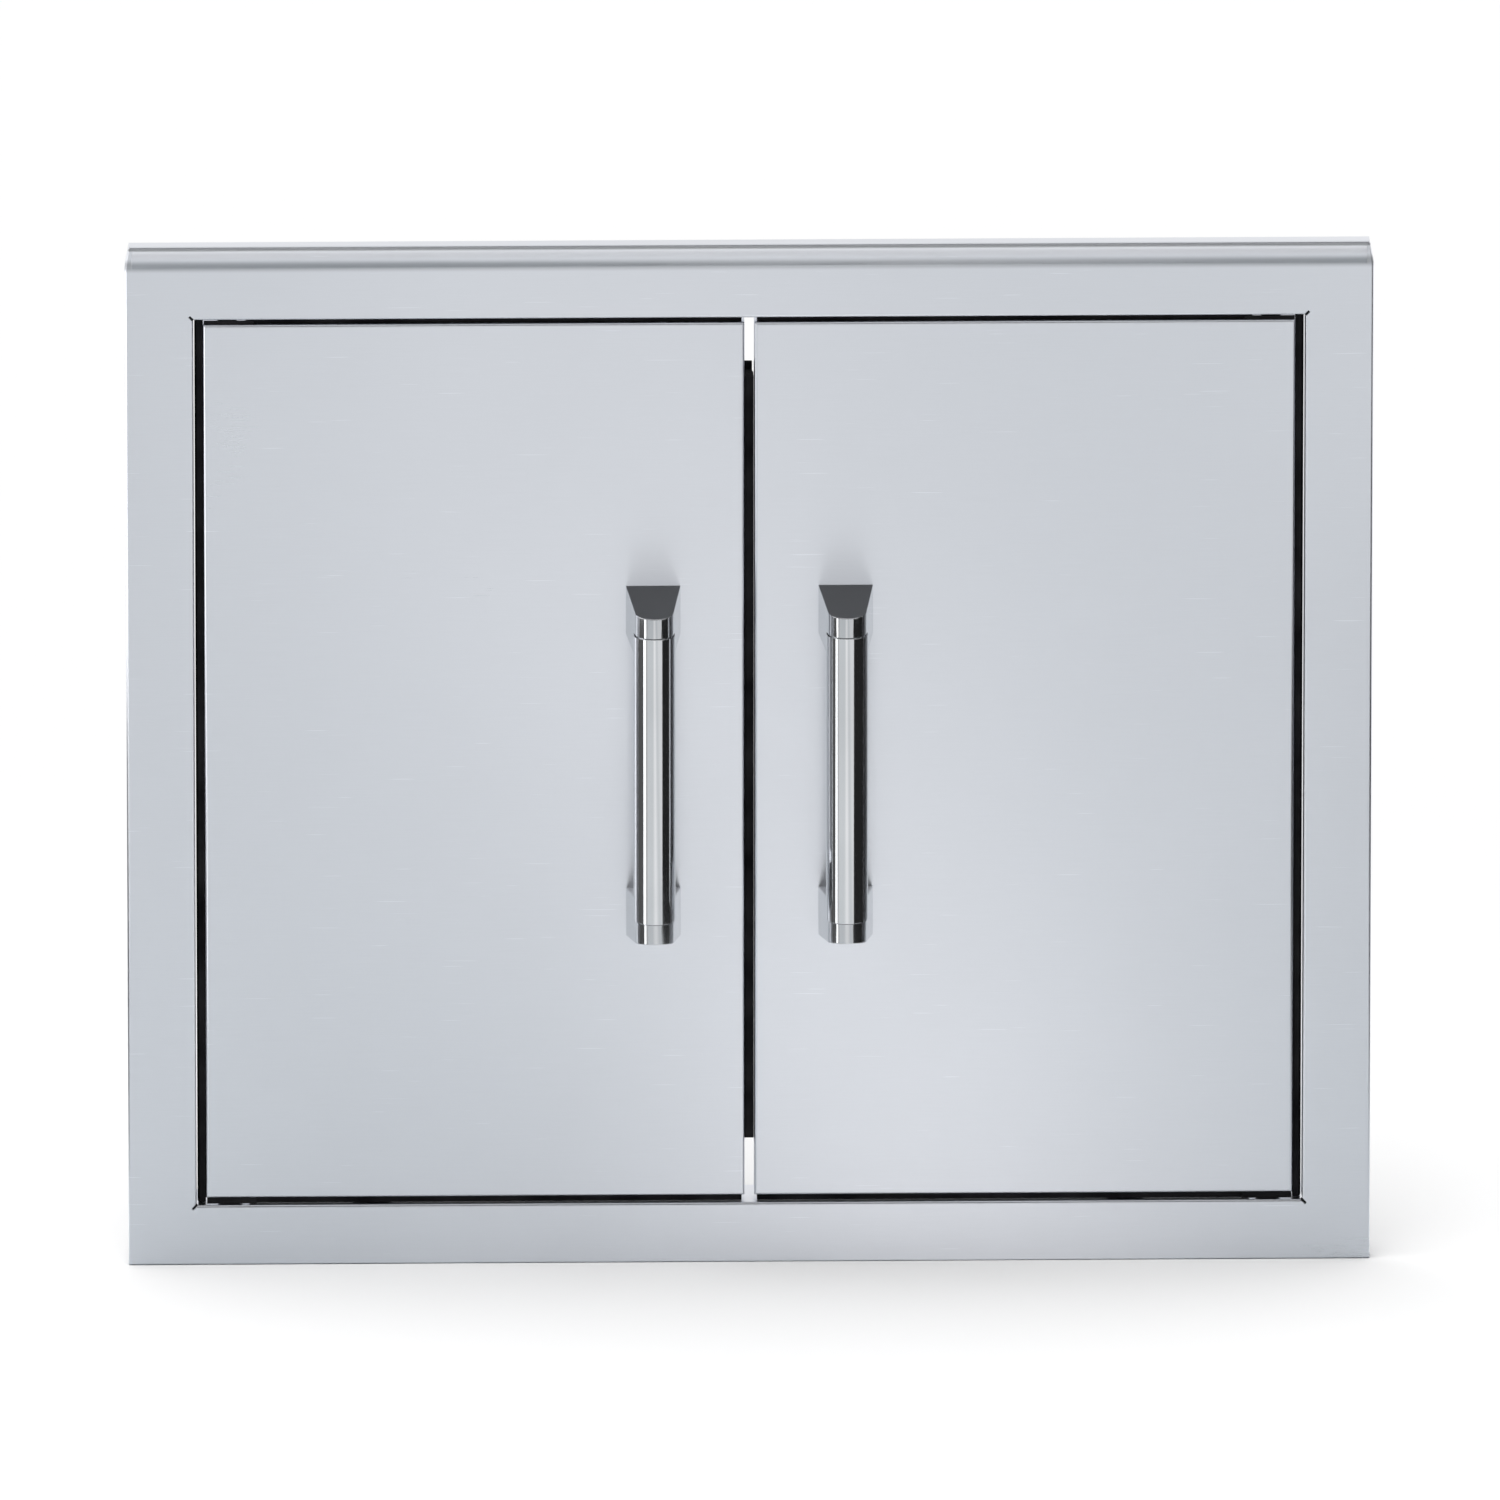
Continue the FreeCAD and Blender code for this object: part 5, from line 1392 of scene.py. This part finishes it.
# %% Lamp
LAMP_PLACE = Vector((-0.3, -0.8, 2.6))
LAMP_AIM = Vector((0, -0.6, floor_z))
LAMP_SIZE = (3.0, 2.2)
LAMP_WATTS = 86
light = bpy.data.lights.new("overhead", "AREA")
light.shape = "RECTANGLE"
light.size, light.size_y = LAMP_SIZE
light.energy = LAMP_WATTS
overhead = bpy.data.objects.new("overhead", light)
bpy.context.scene.collection.objects.link(overhead)
overhead.location = LAMP_PLACE
overhead.rotation_euler = (LAMP_AIM - LAMP_PLACE).to_track_quat("-Z", "Y").to_euler()
overhead.visible_glossy = False
print("lamp:", LAMP_WATTS, "W")

# %% [markdown]
# The bars get their crisp bands from cards beside the door, as a photographer stands black
# and white boards next to bright metal. Only reflections see them. Two more cards are for
# the folds: a white one that lines their left sides and a dark one for their right sides.
# A card is one level edge, extruded upwards. It lights nothing, so its tone can be chosen
# for the mirrors alone.

# %% Cards
BAR_CARD_TOP = 0.25
FOLD_CARD_TOP = 0.53


def card(name, start, end, tone, foot=0.0, top=BAR_CARD_TOP):
    """An upright card that only mirror-like faces see.

    It stands between two points, each an azimuth from straight in front, in degrees, and a
    distance from the door's middle. foot and top are heights over the floor. tone is how
    bright it looks.
    """
    ends = []
    for azimuth, away in (start, end):
        turn = math.radians(azimuth)
        ends.append(Vector((away * math.sin(turn), -away * math.cos(turn), floor_z + foot)))
    bm = bmesh.new()
    base = bm.edges.new([bm.verts.new(point) for point in ends])
    raised = bmesh.ops.extrude_edge_only(bm, edges=[base])["geom"]
    up = [item for item in raised if isinstance(item, bmesh.types.BMVert)]
    bmesh.ops.translate(bm, verts=up, vec=(0, 0, top - foot))
    thing = in_scene(name, bm)
    finish, _, _ = new_material(
        f"{name}_tone",
        Roughness=1.0,
        Specular_IOR_Level=0.0,
        Base_Color=(0.0, 0.0, 0.0, 1.0),
        Emission_Color=(tone, tone, tone, 1.0),
        Emission_Strength=1.0,
    )
    thing.data.materials.append(finish)
    thing.visible_camera = False
    thing.visible_diffuse = False
    thing.visible_shadow = False
    thing.visible_transmission = False
    thing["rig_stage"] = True
    print(name, "tone", tone)


card("dark_card_right", (37, 0.72), (93, 0.6), 0.02)
card("bright_card_left", (-61, 0.6), (-51, 0.6), 2.4)
card("soft_card_left", (-47, 0.6), (-41, 0.6), 0.55)
card("grey_card_left", (-110, 0.6), (-62, 0.6), 0.10)
card("dark_fold_card_right", (63, 0.56), (88, 0.62), 0.02, top=FOLD_CARD_TOP)
card("bright_fold_card_left", (-105, 0.6), (-62, 0.6), 1.8, foot=0.25, top=FOLD_CARD_TOP)

# %% [markdown]
# ## The camera
# The photograph was taken from far off with a long lens, a little above the door, so that
# its edges stay parallel. The camera's distance is set first, and the lens follows from
# how much of the picture the frame fills: 1245 of 1500 pixels.

# %% Camera
PICTURE = 1500
FRAME_PIXELS = 1245
ELEVATION = math.radians(15)
FROM_LEFT = math.radians(1.2)
AWAY = 20.0
AIM = Vector((0.0005, 0.0, 0.0001))
shown_width = (cad_high.x - cad_low.x) * PICTURE / FRAME_PIXELS
eye = bpy.data.cameras.new("eye")
eye.lens = eye.sensor_width * AWAY / shown_width
eye.clip_start = 1.0
eye.clip_end = 100.0
camera = bpy.data.objects.new("camera", eye)
bpy.context.scene.collection.objects.link(camera)
back = Vector((
    -math.sin(FROM_LEFT) * math.cos(ELEVATION),
    -math.cos(FROM_LEFT) * math.cos(ELEVATION),
    math.sin(ELEVATION),
))
camera.location = AIM + back * AWAY
camera.rotation_euler = (-back).to_track_quat("-Z", "Y").to_euler()
bpy.context.scene.camera = camera
print(f"camera: lens {eye.lens:.0f} mm at {AWAY:.0f} m, {math.degrees(ELEVATION):.0f} degrees up")

# %% [markdown]
# ## Last checks
# The dressed door has to keep the size of the imported one. How far its box has grown past
# the imported one's, on each side, is printed.

# %% Sizes and finish
seen_low, seen_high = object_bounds()
edges = zip((*cad_low, *cad_high), (*seen_low, *seen_high))
print("grown by, mm:", [round(abs(a - b) / MM, 2) for a, b in edges])
